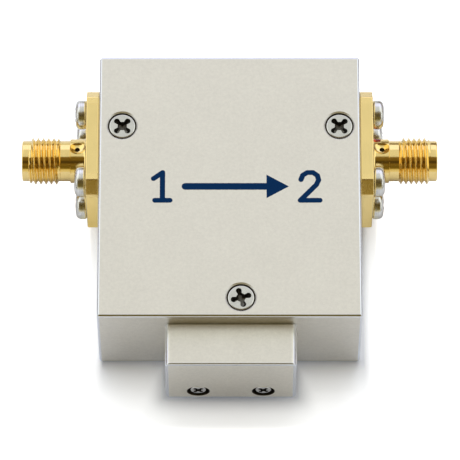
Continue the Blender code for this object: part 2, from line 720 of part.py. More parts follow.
def make_load(nickel, steel, copper, ceramic, silver):
    """The load housing, its two screws, and in its hollow a resistor chip on a copper carrier under a lid."""
    back = -BODY_D / 2 - SEAT
    front = load_front()
    outline = rectangle(LOAD_X, (LOAD_BOTTOM + LOAD_TOP) / 2, LOAD_W, LOAD_TOP - LOAD_BOTTOM, LOAD_CORNER, 4)
    housing = prism("load_housing", outline, front, back, "Y", nickel)
    round_edges(housing, LOAD_FILLET, 2)
    hollow_middle = (LOAD_HOLLOW_BOTTOM + LOAD_HOLLOW_TOP) / 2
    hollow_height = LOAD_HOLLOW_TOP - LOAD_HOLLOW_BOTTOM
    hollow = rectangle(LOAD_X, hollow_middle, LOAD_HOLLOW_W, hollow_height, LOAD_HOLLOW_CORNER, 4)
    cut(housing, prism("load_hollow", hollow, back - LOAD_HOLLOW_D, back + OVERCUT, "Y"))
    seat = load_screw_seat()
    for name, x in load_screw_places().items():
        hole = M1_4 + SCREW_CLEARANCE
        profile = [
            (front - OVERCUT, 0),
            (front - OVERCUT, LOAD_COUNTERBORE),
            (seat, LOAD_COUNTERBORE),
            (seat, hole),
            (back + OVERCUT, hole),
            (back + OVERCUT, 0),
        ]
        cut(housing, turned(name + "_hole", profile, at(x, 0, LOAD_SCREW_Z, "+Y"), HEAD_SIDES))
        place = at(x, seat - SEAT, LOAD_SCREW_Z, "-Y")
        screw = pan_screw(name, place, M1_4, LOAD_HEAD_R, LOAD_HEAD_H - SEAT, LOAD_SCREW_LENGTH, steel)
        recess = [LOAD_HEAD_R / COVER_HEAD * size for size in (RECESS_DEPTH, RECESS_REACH, RECESS_HALF)]
        cross_recess(screw, LOAD_HEAD_H - SEAT, *recess)

    chip_top = JACK_Z + CONDUCTOR_T / 2
    chip_low = chip_top - CHIP_T
    carrier_back = back - CARRIER_INSET
    carrier_y = (carrier_back - CARRIER_D, carrier_back)
    carrier_z = (LOAD_HOLLOW_BOTTOM + SEAT, chip_low - SEAT)
    box("load_carrier", (-CARRIER_W / 2, CARRIER_W / 2), carrier_y, carrier_z, copper)
    chip_y = (carrier_back - CHIP_INSET - CHIP_D, carrier_back - CHIP_INSET)
    box("load_chip", (-CHIP_W / 2, CHIP_W / 2), chip_y, (chip_low, chip_top), ceramic)
    lead_z = (chip_top + SEAT, chip_top + SEAT + LEAD_T)
    lead_y = (chip_y[1] - LEAD_ON_CHIP, LOAD_ARM_END + LEAD_ON_ARM)
    box("load_lead", (-LEAD_W / 2, LEAD_W / 2), lead_y, lead_z, silver)
    lid_y = (chip_y[0] + LID_INSET, chip_y[1] - LID_INSET)
    lid_z = (lead_z[1] + SEAT, lead_z[1] + SEAT + LID_T)
    box("load_lid", (-CHIP_W / 2 + LID_INSET, CHIP_W / 2 - LID_INSET), lid_y, lid_z, ceramic)


def main():
    clear_scene()
    nickel = material("satin nickel plating", (0.64, 0.61, 0.52), 0.85, 0.42)
    bare = material("bare machined steel", (0.5, 0.5, 0.49), 0.9, 0.38)
    steel = material("stainless steel", (0.58, 0.57, 0.55), 1.0, 0.25)
    gold = material("gold plating", (0.86, 0.62, 0.2), 1.0, 0.2)
    copper = material("copper", (0.78, 0.38, 0.24), 1.0, 0.3)
    silver = material("silver plating", (0.86, 0.84, 0.8), 1.0, 0.25)
    white = material("white fluoropolymer", (0.86, 0.85, 0.82), 0.0, 0.5)
    ceramic = material("white ceramic", (0.82, 0.79, 0.72), 0.0, 0.6)
    ferrite = material("garnet ferrite", (0.045, 0.05, 0.045), 0.0, 0.45)
    magnet = material("sintered magnet", (0.12, 0.12, 0.125), 0.6, 0.5)
    rubber = material("silicone rubber", (0.3, 0.07, 0.05), 0.0, 0.8)

    make_housing(nickel)
    make_inner_frame(bare)
    for name, (x, y) in cover_screw_places().items():
        turn = math.radians(COVER_SCREW_TURNS[name.rsplit("_", 1)[1]])
        countersunk_screw(name, x, y, turn, steel)
    for side, towards in (("left", "-X"), ("right", "+X")):
        make_jack(side, towards, gold, white)
        make_flange_screws(side, towards, steel)
    make_centre_conductor(silver)
    looks = {
        "ferrite": ferrite,
        "ceramic": ceramic,
        "silver": silver,
        "magnet": magnet,
        "steel": bare,
        "rubber": rubber,
    }
    make_stack(looks)
    make_load(nickel, steel, copper, ceramic, silver)


main()
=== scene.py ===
import math

import bmesh
import bpy
import numpy as np
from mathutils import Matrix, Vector


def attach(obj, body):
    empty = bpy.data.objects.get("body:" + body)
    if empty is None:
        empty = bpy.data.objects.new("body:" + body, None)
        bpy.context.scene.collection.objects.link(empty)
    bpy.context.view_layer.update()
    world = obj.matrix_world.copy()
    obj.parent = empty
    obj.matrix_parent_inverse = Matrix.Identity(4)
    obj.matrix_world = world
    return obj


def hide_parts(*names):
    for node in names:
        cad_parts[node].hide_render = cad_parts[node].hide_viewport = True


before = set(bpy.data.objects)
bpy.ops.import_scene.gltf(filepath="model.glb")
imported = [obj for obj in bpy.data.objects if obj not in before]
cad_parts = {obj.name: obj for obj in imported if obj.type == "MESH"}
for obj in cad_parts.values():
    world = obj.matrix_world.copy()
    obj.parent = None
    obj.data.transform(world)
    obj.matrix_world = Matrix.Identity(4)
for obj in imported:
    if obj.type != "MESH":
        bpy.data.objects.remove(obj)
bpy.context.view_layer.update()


# Inner frame
# A block of free-cutting steel, milled from bar and left bare. It is bored out for the junction, tapped for
# every screw, and its underside is the base that the device stands on.
MM = 0.001
STEEL_GREY = (0.55, 0.545, 0.53)
MILLING_STEP, MILLING_SWEEP = 0.55, 31.0


class Value:
    """An output of a node that sums can be written with. Each sum becomes a Math node in the same tree."""

    def __init__(self, socket):
        self.socket, self.tree = socket, socket.id_data

    def __add__(self, other):
        return calculate("ADD", self, other)

    def __sub__(self, other):
        return calculate("SUBTRACT", self, other)

    def __rsub__(self, other):
        return calculate("SUBTRACT", other, self)

    def __mul__(self, other):
        return calculate("MULTIPLY", self, other)

    def __truediv__(self, other):
        return calculate("DIVIDE", self, other)

    def __abs__(self):
        return calculate("ABSOLUTE", self)


def fill(node, sockets):
    """Gives a node's inputs their values, or links from Values. A colour may leave out its alpha."""
    for name, value in dict(sockets).items():
        socket = node.inputs[name]
        if isinstance(value, Value):
            value.tree.links.new(value.socket, socket)
        elif socket.type == "RGBA":
            socket.default_value = (*value[:3], 1.0)
        else:
            socket.default_value = value


def add_node(tree, kind, sockets=(), **settings):
    """A shader node with its settings and its inputs filled."""
    made = tree.nodes.new("ShaderNode" + kind)
    for name, value in settings.items():
        setattr(made, name, value)
    fill(made, sockets)
    return made


def result(tree, kind, sockets=(), out=0, **settings):
    """One output of a new node."""
    return Value(add_node(tree, kind, sockets, **settings).outputs[out])


def tree_of(*values):
    """The tree that the first Value of these is in."""
    return next(v.tree for v in values if isinstance(v, Value))


def calculate(operation, *values, clamp=False):
    """The result of one sum on numbers."""
    return result(tree_of(*values), "Math", dict(enumerate(values)), operation=operation, use_clamp=clamp)


def most(first, second):
    """The larger of two numbers."""
    return calculate("MAXIMUM", first, second)


def least(first, second):
    """The smaller of two numbers."""
    return calculate("MINIMUM", first, second)


def length(*parts):
    """The square root of the sum of the parts' squares."""
    total = parts[0] * parts[0]
    for part in parts[1:]:
        total = total + part * part
    return calculate("SQRT", total)


def vector(operation, first, second=(0.0, 0.0, 0.0)):
    """The result of one sum on vectors, which is a number for the three kinds named here."""
    out = "Value" if operation in ("DOT_PRODUCT", "DISTANCE", "LENGTH") else "Vector"
    return result(first.tree, "VectorMath", {0: first, 1: second}, out, operation=operation)


def split(place):
    """The three numbers of a vector."""
    return [Value(part) for part in add_node(place.tree, "SeparateXYZ", {0: place}).outputs]


def ramp(value, low, high, to_low=0.0, to_high=1.0, smooth=False):
    """Value carried from low..high to to_low..to_high and held there outside them."""
    kind = "SMOOTHSTEP" if smooth else "LINEAR"
    sockets = dict(enumerate((value, low, high, to_low, to_high)))
    return result(value.tree, "MapRange", sockets, interpolation_type=kind, clamp=True)


def mixed(share, first, second, blend="MIX"):
    """Two colours mixed by a share."""
    sockets = {0: share, 6: first, 7: second}
    return result(tree_of(share, first, second), "Mix", sockets, 2, data_type="RGBA", blend_type=blend)


def between(share, first, second):
    """Two numbers mixed by a share."""
    return result(share.tree, "Mix", {0: share, 2: first, 3: second}, data_type="FLOAT")


def noise(place, scale, out=0, **more):
    """Fractal noise at a place: output 0 is its value and output 1 its colour."""
    return result(place.tree, "TexNoise", {"Vector": place, "Scale": scale, **more}, out)


def start_effect(name, outputs, **inputs):
    """An empty node group that takes a Vector and these inputs, its entry's Values by name, and its exit."""
    tree = bpy.data.node_groups.new(name, "ShaderNodeTree")
    for label, value in {"Vector": (0.0, 0.0, 0.0), **inputs}.items():
        kind = "NodeSocketFloat" if isinstance(value, float) else "NodeSocketVector"
        tree.interface.new_socket(label, in_out="INPUT", socket_type=kind).default_value = value
    for label in outputs:
        tree.interface.new_socket(label, in_out="OUTPUT", socket_type="NodeSocketFloat")
    entry = tree.nodes.new("NodeGroupInput")
    return tree, {socket.name: Value(socket) for socket in entry.outputs}, tree.nodes.new("NodeGroupOutput")


def use_effect(group, place, **inputs):
    """A node group's results at a place: one Value, or a list of them."""
    made = add_node(place.tree, "Group", {"Vector": place, **inputs}, node_tree=group)
    results = [Value(socket) for socket in made.outputs]
    return results if len(results) > 1 else results[0]


def make_grain():
    """Fine mottle of a metal's skin: small grains, and slow patches that are a little warmer or darker."""
    tree, given, out = start_effect("metal grain", ("Grain", "Patch"), Size=0.3, Patches=6.0)
    fine, slow = (calculate("DIVIDE", 1 / MM, given[size]) for size in ("Size", "Patches"))
    grains = noise(given["Vector"], fine, Detail=3.0, Roughness=0.6)
    fill(out, {"Grain": grains, "Patch": noise(given["Vector"], slow, Detail=2.0)})
    return tree


def make_lay():
    """Straight tool marks: noise drawn out along one direction. Stretch is how fast it changes along each."""
    tree, given, out = start_effect("tool lay", ("Height",), Stretch=(20.0, 0.3, 20.0))
    drawn_out = vector("MULTIPLY", given["Vector"], given["Stretch"])
    fill(out, {"Height": noise(drawn_out, 1.0 / MM, Detail=3.0)})
    return tree


def make_rings():
    """Turning marks round an axis along X through the origin: fine ridges along the axis and across faces."""
    tree, given, out = start_effect("turning rings", ("Height",), Feed=0.06)
    x, y, z = split(given["Vector"])
    turns = (abs(x) + length(y, z)) / (given["Feed"] * MM)
    marks = result(tree, "TexNoise", {"W": turns, "Scale": 1.0, "Detail": 2.0}, noise_dimensions="1D")
    fill(out, {"Height": marks})
    return tree


GRAIN = make_grain()
LAY = make_lay()
RINGS = make_rings()


def start_finish(name, metallic, roughness):
    """A material, its Principled shader and its object coordinates."""
    made = bpy.data.materials.new(name)
    made.use_nodes = True
    shader = made.node_tree.nodes["Principled BSDF"]
    fill(shader, {"Metallic": metallic, "Roughness": roughness})
    return made, shader, result(made.node_tree, "TexCoord", out="Object")


def shaded(shader, colour, *spreads):
    """Base colour varied by (value, spread) pairs. A value of 0.5 leaves it as it is."""
    factor = 1.0
    for value, spread in spreads:
        factor = calculate("MULTIPLY", factor, ramp(value, 0.2, 0.8, 1 - spread, 1 + spread))
    varied = mixed(1.0, colour, factor, "MULTIPLY")
    fill(shader, {"Base Color": varied})
    return varied


def raised(shader, height, distance):
    """Bump from a height of 0 to 1, this many millimetres deep."""
    fill(shader, {"Normal": result(height.tree, "Bump", {"Height": height, "Distance": distance * MM})})


def make_milled_steel():
    """Bare steel with the arcs that a face mill leaves: ridges at equal steps from a far centre."""
    made, shader, place = start_finish("milled steel", 1.0, 0.34)
    grain, patch = use_effect(GRAIN, place, Size=0.2, Patches=5.0)
    from_centre = vector("MULTIPLY", vector("ADD", place, (MILLING_SWEEP * MM, 0, 0)), (1.0, 1.0, 0.0))
    steps = vector("LENGTH", from_centre) * (2 * math.pi / (MILLING_STEP * MM))
    arcs = ramp(calculate("SINE", steps), -1.0, 1.0)
    shaded(shader, STEEL_GREY, (grain, 0.05), (patch, 0.06), (arcs, 0.05))
    raised(shader, arcs * 0.6 + grain, 0.003)
    return made


def dress(look, *names):
    """Puts a finish on CAD nodes whose shape is right."""
    for name in names:
        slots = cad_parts[name].data.materials
        slots.clear()
        slots.append(look)


dress(make_milled_steel(), "inner_frame")


# Junction
# Round plates stacked in the frame's bore, the same above and below the centre conductor: a soft steel pole
# piece, a ground magnet, a silver-plated ground plate, and a ferrite disc in a ceramic ring. All are ground
# flat. The conductor is etched from copper sheet and silver plated. A silicone pad on top presses the stack.
JUNCTION_Y = 0.5
MAGNET_GREY, FERRITE_BLACK = (0.105, 0.1, 0.1), (0.03, 0.034, 0.03)
CERAMIC_WHITE, SILVER = (0.8, 0.77, 0.7), (0.87, 0.86, 0.83)
SILICONE_RED = (0.33, 0.06, 0.045)


def make_ground(name, colour, metallic, roughness, feed, depth, spread):
    """A ground plate: rings round the junction's middle, and a fine grain, with a bump depth and a spread of
    colour."""
    made, shader, place = start_finish(name, metallic, roughness)
    x, y, z = split(vector("ADD", place, (0.0, -JUNCTION_Y * MM, 0.0)))
    rings = use_effect(RINGS, result(place.tree, "CombineXYZ", {0: z, 1: x, 2: y}), Feed=feed)
    grain, _ = use_effect(GRAIN, place, Size=0.15, Patches=3.0)
    shaded(shader, colour, (grain, spread), (rings, spread))
    raised(shader, rings + grain, depth)
    return made


ceramic = make_ground("alumina ceramic", CERAMIC_WHITE, 0.0, 0.5, 0.3, 0.002, 0.025)
silver_plate = make_ground("silver plating", SILVER, 1.0, 0.22, 0.1, 0.0015, 0.03)
for piece, look in {
    "pole_piece": make_ground("ground soft steel", STEEL_GREY, 1.0, 0.28, 0.12, 0.002, 0.05),
    "magnet": make_ground("magnet", MAGNET_GREY, 0.6, 0.42, 0.2, 0.003, 0.12),
    "ground_plate": silver_plate,
    "ferrite": make_ground("ferrite", FERRITE_BLACK, 0.0, 0.3, 0.15, 0.002, 0.2),
    "dielectric_ring": ceramic,
}.items():
    dress(look, "lower_" + piece, "upper_" + piece)
dress(silver_plate, "centre_conductor")
dress(make_ground("silicone rubber", SILICONE_RED, 0.0, 0.7, 0.8, 0.01, 0.1), "compression_pad")


# Box
# A hood milled from one block and open underneath, with its edges rounded by tumbling, and then nickel plated
# to a fine satin. It drops over the frame. Three countersinks, the jacks' bores and the load's window go
# through its walls. A direction arrow with the port numbers is screened on its top.
BOX_W, BOX_D, BOX_H = 35.0, 38.3, 15.0
BOX_EDGE, EDGE_ROUGH = 0.35, 0.22
BOX_WALL, BOX_ROOF, POCKET_CORNER = 1.5, 2.0, 1.5
JACK_Y, JACK_Z, WALL_BORE = 7.36, 7.1, 2.15
JACK_AXIS = (0, JACK_Y, JACK_Z)
FLANGE_MIDDLE_Z, SPREAD_Y, SPREAD_Z = 7.5, 5.0, 3.6
FLANGE_SCREWS = {
    high + "_" + deep: (JACK_Y + sy * SPREAD_Y, FLANGE_MIDDLE_Z + sz * SPREAD_Z)
    for high, sz in (("upper", 1), ("lower", -1))
    for deep, sy in (("back", 1), ("front", -1))
}
COVER_SCREWS = {"left": (-14.4, 8.85, 45), "right": (14.7, 8.85, 43), "front": (1.5, -16.33, 17)}  # x, y, turn
SINK_R, SINK_LIP, SINK_BREAK = 1.93, 0.3, 0.17
M2_HOLE, M1_4_HOLE = 1.1, 0.8
LOAD_SCREWS, LOAD_SCREW_Z = (-4.18, 4.48), 3.9
WINDOW_W, WINDOW_H, WINDOW_CORNER = 3.6, 3.0, 0.6
PAST = 0.5  # how far a cutter reaches past the face that it opens
NICKEL, EDGE_NICKEL = (0.76, 0.735, 0.665), (0.72, 0.745, 0.79)
# The first colour here is painted shade for the countersinks and counterbores, below their edge.
PAINTED_SINK_SHADE, SINK_NICKEL = (0.06, 0.05, 0.036), (0.73, 0.72, 0.69)
INK_BLUE, INK_EDGE = (0.0015, 0.022, 0.082), (-0.02, 0.03)
MARK_Y = -0.2
ARROW_TAIL, ARROW_NECK, ARROW_TIP, ARROW_SHAFT, ARROW_BARB = -5.9, 4.9, 7.9, 0.5, 1.75
NUMBER_LINE, ONE_X, TWO_X = 0.36, -9.2, 10.7
MARKS = (  # half width of the line, middle, points
    (ARROW_SHAFT, 0.0, [(ARROW_TAIL, 0.0), (ARROW_NECK, 0.0)]),
    (NUMBER_LINE, ONE_X, [(-0.95, 1.15), (0.25, 2.05), (0.25, -2.05)]),
    (NUMBER_LINE, ONE_X, [(-0.75, -2.05), (1.25, -2.05)]),
    (NUMBER_LINE, TWO_X, [(-1.2, 1.0), (-0.95, 1.65), (-0.35, 2.05), (0.4, 2.05), (1.0, 1.6)]),
    (NUMBER_LINE, TWO_X, [(1.0, 1.6), (1.15, 0.95), (0.85, 0.25), (-1.3, -2.05), (1.3, -2.05)]),
)
SHARP = 32


def arc(level, out, bend, start, stop, steps=6):
    """Points of an arc about (level, out), between two angles that are counted from straight out."""
    turn = np.radians(np.linspace(start, stop, steps + 1))
    return [(level + bend * math.sin(t), out + bend * math.cos(t)) for t in turn]


def rectangle_rings(width, height, corner, profile, steps=8):
    """A rounded rectangle carried along a profile of (level, out): each ring is the outline moved out by that
    much, and so is its corner radius. Out is negative inwards. Rings x points x (across, up, level)."""
    level, out = (v[:, None] for v in np.array(profile, float).T)
    turn = np.radians(np.concatenate([np.linspace(q, q + 90, steps + 1) for q in (0, 90, 180, 270)]))
    sign_x, sign_y = np.repeat([1, -1, -1, 1], steps + 1), np.repeat([1, 1, -1, -1], steps + 1)
    radius, keep = np.maximum(corner + out, 0), np.maximum(corner, -out)
    x = sign_x * (width / 2 - keep) + radius * np.cos(turn)
    y = sign_y * (height / 2 - keep) + radius * np.sin(turn)
    rings = np.stack([x, y, level + 0 * x], -1)
    return np.concatenate([rings, rings[:, :1]], 1)


def turned_rings(profile, sides=64):
    """A profile of (level, radius) turned round the axis: radius * cos, radius * sin, level."""
    level, radius = (v[:, None] for v in np.array(profile, float).T)
    turn = np.linspace(0, 2 * np.pi, sides + 1)
    return np.stack([radius * np.cos(turn), radius * np.sin(turn), level + 0 * turn], -1)


def laid(rings, origin, towards):
    """Rings moved so that their levels run from the origin towards one of these directions."""
    order, signs = {
        "+Z": ((0, 1, 2), (1, 1, 1)),
        "+X": ((2, 0, 1), (1, 1, 1)),
        "-X": ((2, 0, 1), (-1, -1, 1)),
        "-Y": ((1, 2, 0), (-1, -1, 1)),
    }[towards]
    return rings[..., order] * signs + origin


def weld(meshes, gap, outwards=False):
    """Joins meshes into their first, and its points that lie within a gap. Turns its faces outwards if asked."""
    made = bmesh.new()
    for mesh in meshes:
        made.from_mesh(mesh)
    bmesh.ops.remove_doubles(made, verts=made.verts, dist=gap * MM)
    if outwards:
        bmesh.ops.recalc_face_normals(made, faces=made.faces)
    made.to_mesh(meshes[0])
    made.free()


def add_object(name, data):
    """A new object in the scene."""
    made = bpy.data.objects.new(name, data)
    bpy.context.scene.collection.objects.link(made)
    return made


def skin(name, rings, look=None, origin=(0.0, 0.0, 0.0), towards="+Z"):
    """A closed surface through rings of points that end where they start. The first and last ring get caps,
    unless they are the same ring. Points that coincide become one, which closes seams and poles."""
    rings = laid(rings, origin, towards)
    count, across = rings.shape[:2]
    index = np.arange(count * across).reshape(count, across)
    quads = np.stack([index[:-1, :-1], index[:-1, 1:], index[1:, 1:], index[1:, :-1]], -1)
    faces = quads.reshape(-1, 4).tolist()
    if not np.allclose(rings[0], rings[-1]):
        faces += [index[0, -2::-1].tolist(), index[-1, :-1].tolist()]
    mesh = bpy.data.meshes.new(name)
    mesh.from_pydata((rings.reshape(-1, 3) * MM).tolist(), [], faces)
    weld([mesh], 0.0005, outwards=True)
    if look:
        mesh.materials.append(look)
    return add_object(name, mesh)


def carve(obj, tools, operation="DIFFERENCE"):
    """Cuts the tools' shapes, which don't overlap, out of obj, or joins them to it. A tool's finish goes to
    what it cuts."""
    if tools:
        weld([tool.data for tool in tools], 0)
        step = obj.modifiers.new("step", "BOOLEAN")
        step.operation, step.solver, step.object = operation, "EXACT", tools[0]
        if tools[0].data.materials:
            step.material_mode = "TRANSFER"
    bpy.context.view_layer.update()
    shape = bpy.data.meshes.new_from_object(obj.evaluated_get(bpy.context.evaluated_depsgraph_get()))
    weld([shape], 0.0002)
    obj.modifiers.clear()
    obj.data = shape
    for tool in tools:
        bpy.data.objects.remove(tool)
    return obj


def settle(obj, slot, *nodes):
    """The last steps of a piece: crisp edges, even shading, its body, and hiding what it stands for. Its slot is
    not used.
    """
    obj.data.shade_smooth()
    obj.data.set_sharp_from_angle(angle=math.radians(SHARP))
    obj.modifiers.new("even shading", "WEIGHTED_NORMAL").keep_sharp = True
    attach(obj, "root")
    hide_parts(*nodes)


def make_stroke():
    """A painted line between two points: distance from the line, cut at its half width. In millimetres."""
    origin = (0.0, 0.0, 0.0)
    tree, given, out = start_effect("painted stroke", ("Mask",), Start=origin, End=origin, Half=0.3)
    from_start = vector("SUBTRACT", given["Vector"], given["Start"])
    line = vector("SUBTRACT", given["End"], given["Start"])
    along, whole = vector("DOT_PRODUCT", from_start, line), vector("DOT_PRODUCT", line, line)
    nearest = vector("MULTIPLY", line, calculate("DIVIDE", along, whole, clamp=True))
    fill(out, {"Mask": ramp(given["Half"] - vector("DISTANCE", from_start, nearest), *INK_EDGE)})
    return tree


STROKE = make_stroke()


def painted_mark(place):
    """Mask of the arrow and port numbers on the top face: strokes laid end to end, with ragged edges."""
    ragged = vector("SUBTRACT", noise(place, 9.0 / MM, 1, Detail=1.0), (0.5, 0.5, 0.5))
    moved = vector("ADD", place, vector("MULTIPLY", ragged, (0.06 * MM,) * 3))
    flat = vector("MULTIPLY", moved, (1 / MM, 1 / MM, 0.0))
    mask = 0.0
    for half_line, middle, points in MARKS:
        ends = [(middle + x, MARK_Y + y, 0.0) for x, y in points]
        for start, end in zip(ends, ends[1:]):
            mask = most(mask, use_effect(STROKE, flat, Start=start, End=end, Half=half_line))
    x, y, _ = split(flat)
    within = (ARROW_TIP - x) * (ARROW_BARB / (ARROW_TIP - ARROW_NECK)) - abs(y - MARK_Y)
    head = ramp(least(within, x - ARROW_NECK), *INK_EDGE)
    on_top = calculate("GREATER_THAN", split(place)[2], (BOX_H - 0.02) * MM)
    return most(mask, head) * on_top


def painted(shader, mask, metal, paint, shine):
    """The colour of metal with paint on it where the mask is 1. The paint isn't metallic."""
    fill(shader, {"Metallic": 1.0 - mask, "Specular IOR Level": ramp(mask, 0.0, 1.0, 0.5, shine)})
    return mixed(mask, metal, paint)


def edge_share(place, spans, reach):
    """1 on a box's edges and 0 on its faces: a point on an edge is near to two faces at once, so the second
    smallest of its three distances to them, each over its own reach, is small."""
    a, b, c = (
        ((high - low) / 2 * MM - abs(part - (high + low) / 2 * MM)) / (near * MM)
        for part, (low, high), near in zip(split(place), spans, reach)
    )
    farther = least(most(a, b), c)
    return ramp(most(least(a, b), farther), 0.8, 1.05, 1.0, 0.0, True)


def make_nickel(name, marked, spans, reach):
    """Satin nickel plating: mottle, warmer patches, a soft bumped grain, and edges polished by tumbling."""
    made, shader, place = start_finish(name, 1.0, 0.4)
    grain, patch = use_effect(GRAIN, place, Size=0.42, Patches=7.0)
    fine, fine_patch = use_effect(GRAIN, place, Size=0.12, Patches=2.0)
    edges = edge_share(place, spans, reach)
    colour = shaded(shader, NICKEL, (grain, 0.055), (fine, 0.045), (patch, 0.016))
    colour = mixed(edges, colour, EDGE_NICKEL)
    roughness = ramp(fine_patch, 0.2, 0.8, 0.42, 0.5)
    height = grain + fine * 0.5
    if marked:
        mask = painted_mark(place)
        colour = painted(shader, mask, colour, INK_BLUE, 0.04)
        roughness = roughness + mask * 0.15
        height = height + mask
    fill(shader, {"Base Color": colour, "Roughness": between(edges, roughness, EDGE_ROUGH)})
    raised(shader, height, 0.006)
    return made


def make_sink_nickel():
    """The plating in the countersinks and counterbores, with painted shade below their edge, where the gap round
    a screw's head lies in shade.
    """
    made, shader, place = start_finish("nickel in a countersink", 1.0, 0.4)
    grain, patch = use_effect(GRAIN, place, Size=0.2, Patches=1.0)
    edge, soft = BOX_H - SINK_BREAK, 0.03
    above_painted_shade = ramp(split(place)[2], (edge - soft) * MM, (edge + soft) * MM, smooth=True)
    colour = mixed(above_painted_shade, PAINTED_SINK_SHADE, shaded(shader, SINK_NICKEL, (grain, 0.06)))
    fill(shader, {"Base Color": colour, "Roughness": ramp(patch, 0.2, 0.8, 0.36, 0.48)})
    raised(shader, grain, 0.004)
    return made


def rod(radius, low, high, origin, towards, sides=48):
    """A round cutter."""
    profile = [(low, 0), (low, radius), (high, radius), (high, 0)]
    return skin("cutter", turned_rings(profile, sides), None, origin, towards)


def make_box(look):
    """The hood: a rounded box, its pocket, and every hole in its walls."""
    outside = arc(BOX_EDGE, -BOX_EDGE, BOX_EDGE, -90, 0) + arc(BOX_H - BOX_EDGE, -BOX_EDGE, BOX_EDGE, 0, 90)
    box = skin("nickel_box", rectangle_rings(BOX_W, BOX_D, BOX_EDGE, outside, 6), look)
    inner = (BOX_W - 2 * BOX_WALL, BOX_D - 2 * BOX_WALL, POCKET_CORNER)
    carve(box, [skin("cutter", rectangle_rings(*inner, [(-PAST, 0), (BOX_H - BOX_ROOF, 0)]))])
    under, wide = -BOX_ROOF - PAST, SINK_R + SINK_BREAK
    sink = [(under, 0), (under, M2_HOLE), (-SINK_LIP - (SINK_R - M2_HOLE), M2_HOLE), (-SINK_LIP, SINK_R)]
    sink += [(-SINK_BREAK, SINK_R), (-0.5 * SINK_BREAK, SINK_R + 0.35 * SINK_BREAK), (0, wide)]
    sink = turned_rings([*sink, (PAST, wide), (PAST, 0)], 96)
    # The countersinks take the nickel with painted shade below their edge.
    carve(box, [skin("cutter", sink, shaded_sink_nickel, (x, y, BOX_H)) for x, y, _ in COVER_SCREWS.values()])
    cutters = []
    wall = (BOX_W / 2 - BOX_WALL - PAST, BOX_W / 2 + PAST)
    for towards in ("-X", "+X"):
        cutters.append(rod(WALL_BORE, *wall, JACK_AXIS, towards))
        cutters += [rod(M2_HOLE, *wall, (0, y, z), towards, 32) for y, z in FLANGE_SCREWS.values()]
    front = (BOX_D / 2 - BOX_WALL - PAST, BOX_D / 2 + PAST)
    cutters += [rod(M1_4_HOLE, *front, (x, 0, LOAD_SCREW_Z), "-Y", 32) for x in LOAD_SCREWS]
    window = rectangle_rings(WINDOW_H, WINDOW_W, WINDOW_CORNER, [(level, 0) for level in front])
    cutters.append(skin("cutter", window, None, (0, 0, JACK_Z), "-Y"))
    return carve(box, cutters)


shaded_sink_nickel = make_sink_nickel()
spans = ((-BOX_W / 2, BOX_W / 2), (-BOX_D / 2, BOX_D / 2), (0, BOX_H))
marked_nickel = make_nickel("satin nickel, marked", True, spans, (BOX_EDGE,) * 3)
settle(make_box(marked_nickel), "nickel_plating", "housing")


# Cover screws
# Three stainless M2 countersunk screws with a cross recess hold the box down on the frame. They are cold
# headed and rolled, then tumbled, so the rim of the head is rounded and the recess is a punch's print.
# The second colour here is painted shade: the steel of the cross recess is dark grey.
STAINLESS, RECESS_SHADE_GREY = (0.68, 0.675, 0.65), (0.15, 0.143, 0.13)
COVER_HEAD_R, COVER_FLAT_R, COVER_SUNK = 1.85, 1.6, 0.17
COVER_RIM, COVER_RIM_SLOPE, COVER_CYLINDER = 0.18, 50.0, 0.05
COVER_LENGTH, COVER_NECK_R = 4.0, 0.94
M2_CREST, M2_ROOT = 0.97, 0.76
M2 = (M2_CREST, M2_ROOT, 0.4, 0.55, 0.3, 0.45)  # then pitch, point's radius, its cone, thread's start
M2_CROSS = {"top": 0.5, "reach": 1.4, "half": 0.29, "end_r": 0.4, "hub": 0.62, "depth": 1.05}
CROSS_DRAFT = ((0.3, 0.93, 0.94), (0.7, 0.76, 0.84), (1.0, 0.52, 0.76))  # depth, reach, width
CROSS_POINTS, CROSS_PILOT = 26, 0.2


def make_tumbled_steel(name, colour, roughness, streaks=0.0):
    """Stainless steel with a faint grain. Streaks are turning marks across the jacks' axis."""
    made, shader, place = start_finish(name, 1.0, roughness)
    grain, patch = use_effect(GRAIN, place, Size=0.1, Patches=1.1)
    marks = use_effect(RINGS, vector("MULTIPLY", place, (1.0, 0.0, 0.0)), Feed=0.14)
    fill(shader, {"Roughness": ramp(patch, 0.25, 0.75, roughness * 0.8, roughness * 1.2)})
    shaded(shader, colour, (grain, 0.05), (patch, 0.06), (marks, streaks))
    raised(shader, marks * (4 * streaks) + grain, 0.003)
    return made


def thread_rings(low, high, crest, root, pitch, sides, phase=0, flats=(0.06, 0.23), fade=1, crown=(0, 0.05)):
    """The outside of a right-handed thread between two levels, as rings that climb one pitch a turn. It stands
    over the root by 1 - (sqrt(u^2 + c^2) - c) / flank, where u is the distance from the crest in pitches and c
    half the crest's share of one: a round crest on straight flanks. It fades to the root at both ends, and
    levels held to low and high make those flat. Crown says where rings cross the crest."""
    c, flank = flats[0] / 2, (1 - sum(flats)) / 2
    u = np.array([*crown, flank + c])
    height = 1 - (np.sqrt(u**2 + c**2) - c) / flank
    height[-1] = 0.0
    marks = np.concatenate([u, 1 - u[:0:-1]])
    turns = int(math.ceil((high - low) / pitch)) + 3
    steps = (np.arange(turns)[:, None] - 1 + marks).reshape(-1)
    height = np.tile(np.concatenate([height, height[:0:-1]]), turns)
    turn = np.linspace(0, 2 * np.pi, sides + 1)
    level = low + (steps[:, None] + turn / (2 * np.pi) - 1 + phase) * pitch
    held = np.clip(level, low, high)
    near = np.minimum(held - low, high - held) / (fade * pitch)
    radius = root + (crest - root) * height[:, None] * np.clip(near, 0, 1)
    return np.stack([radius * np.cos(turn), radius * np.sin(turn), held], -1)


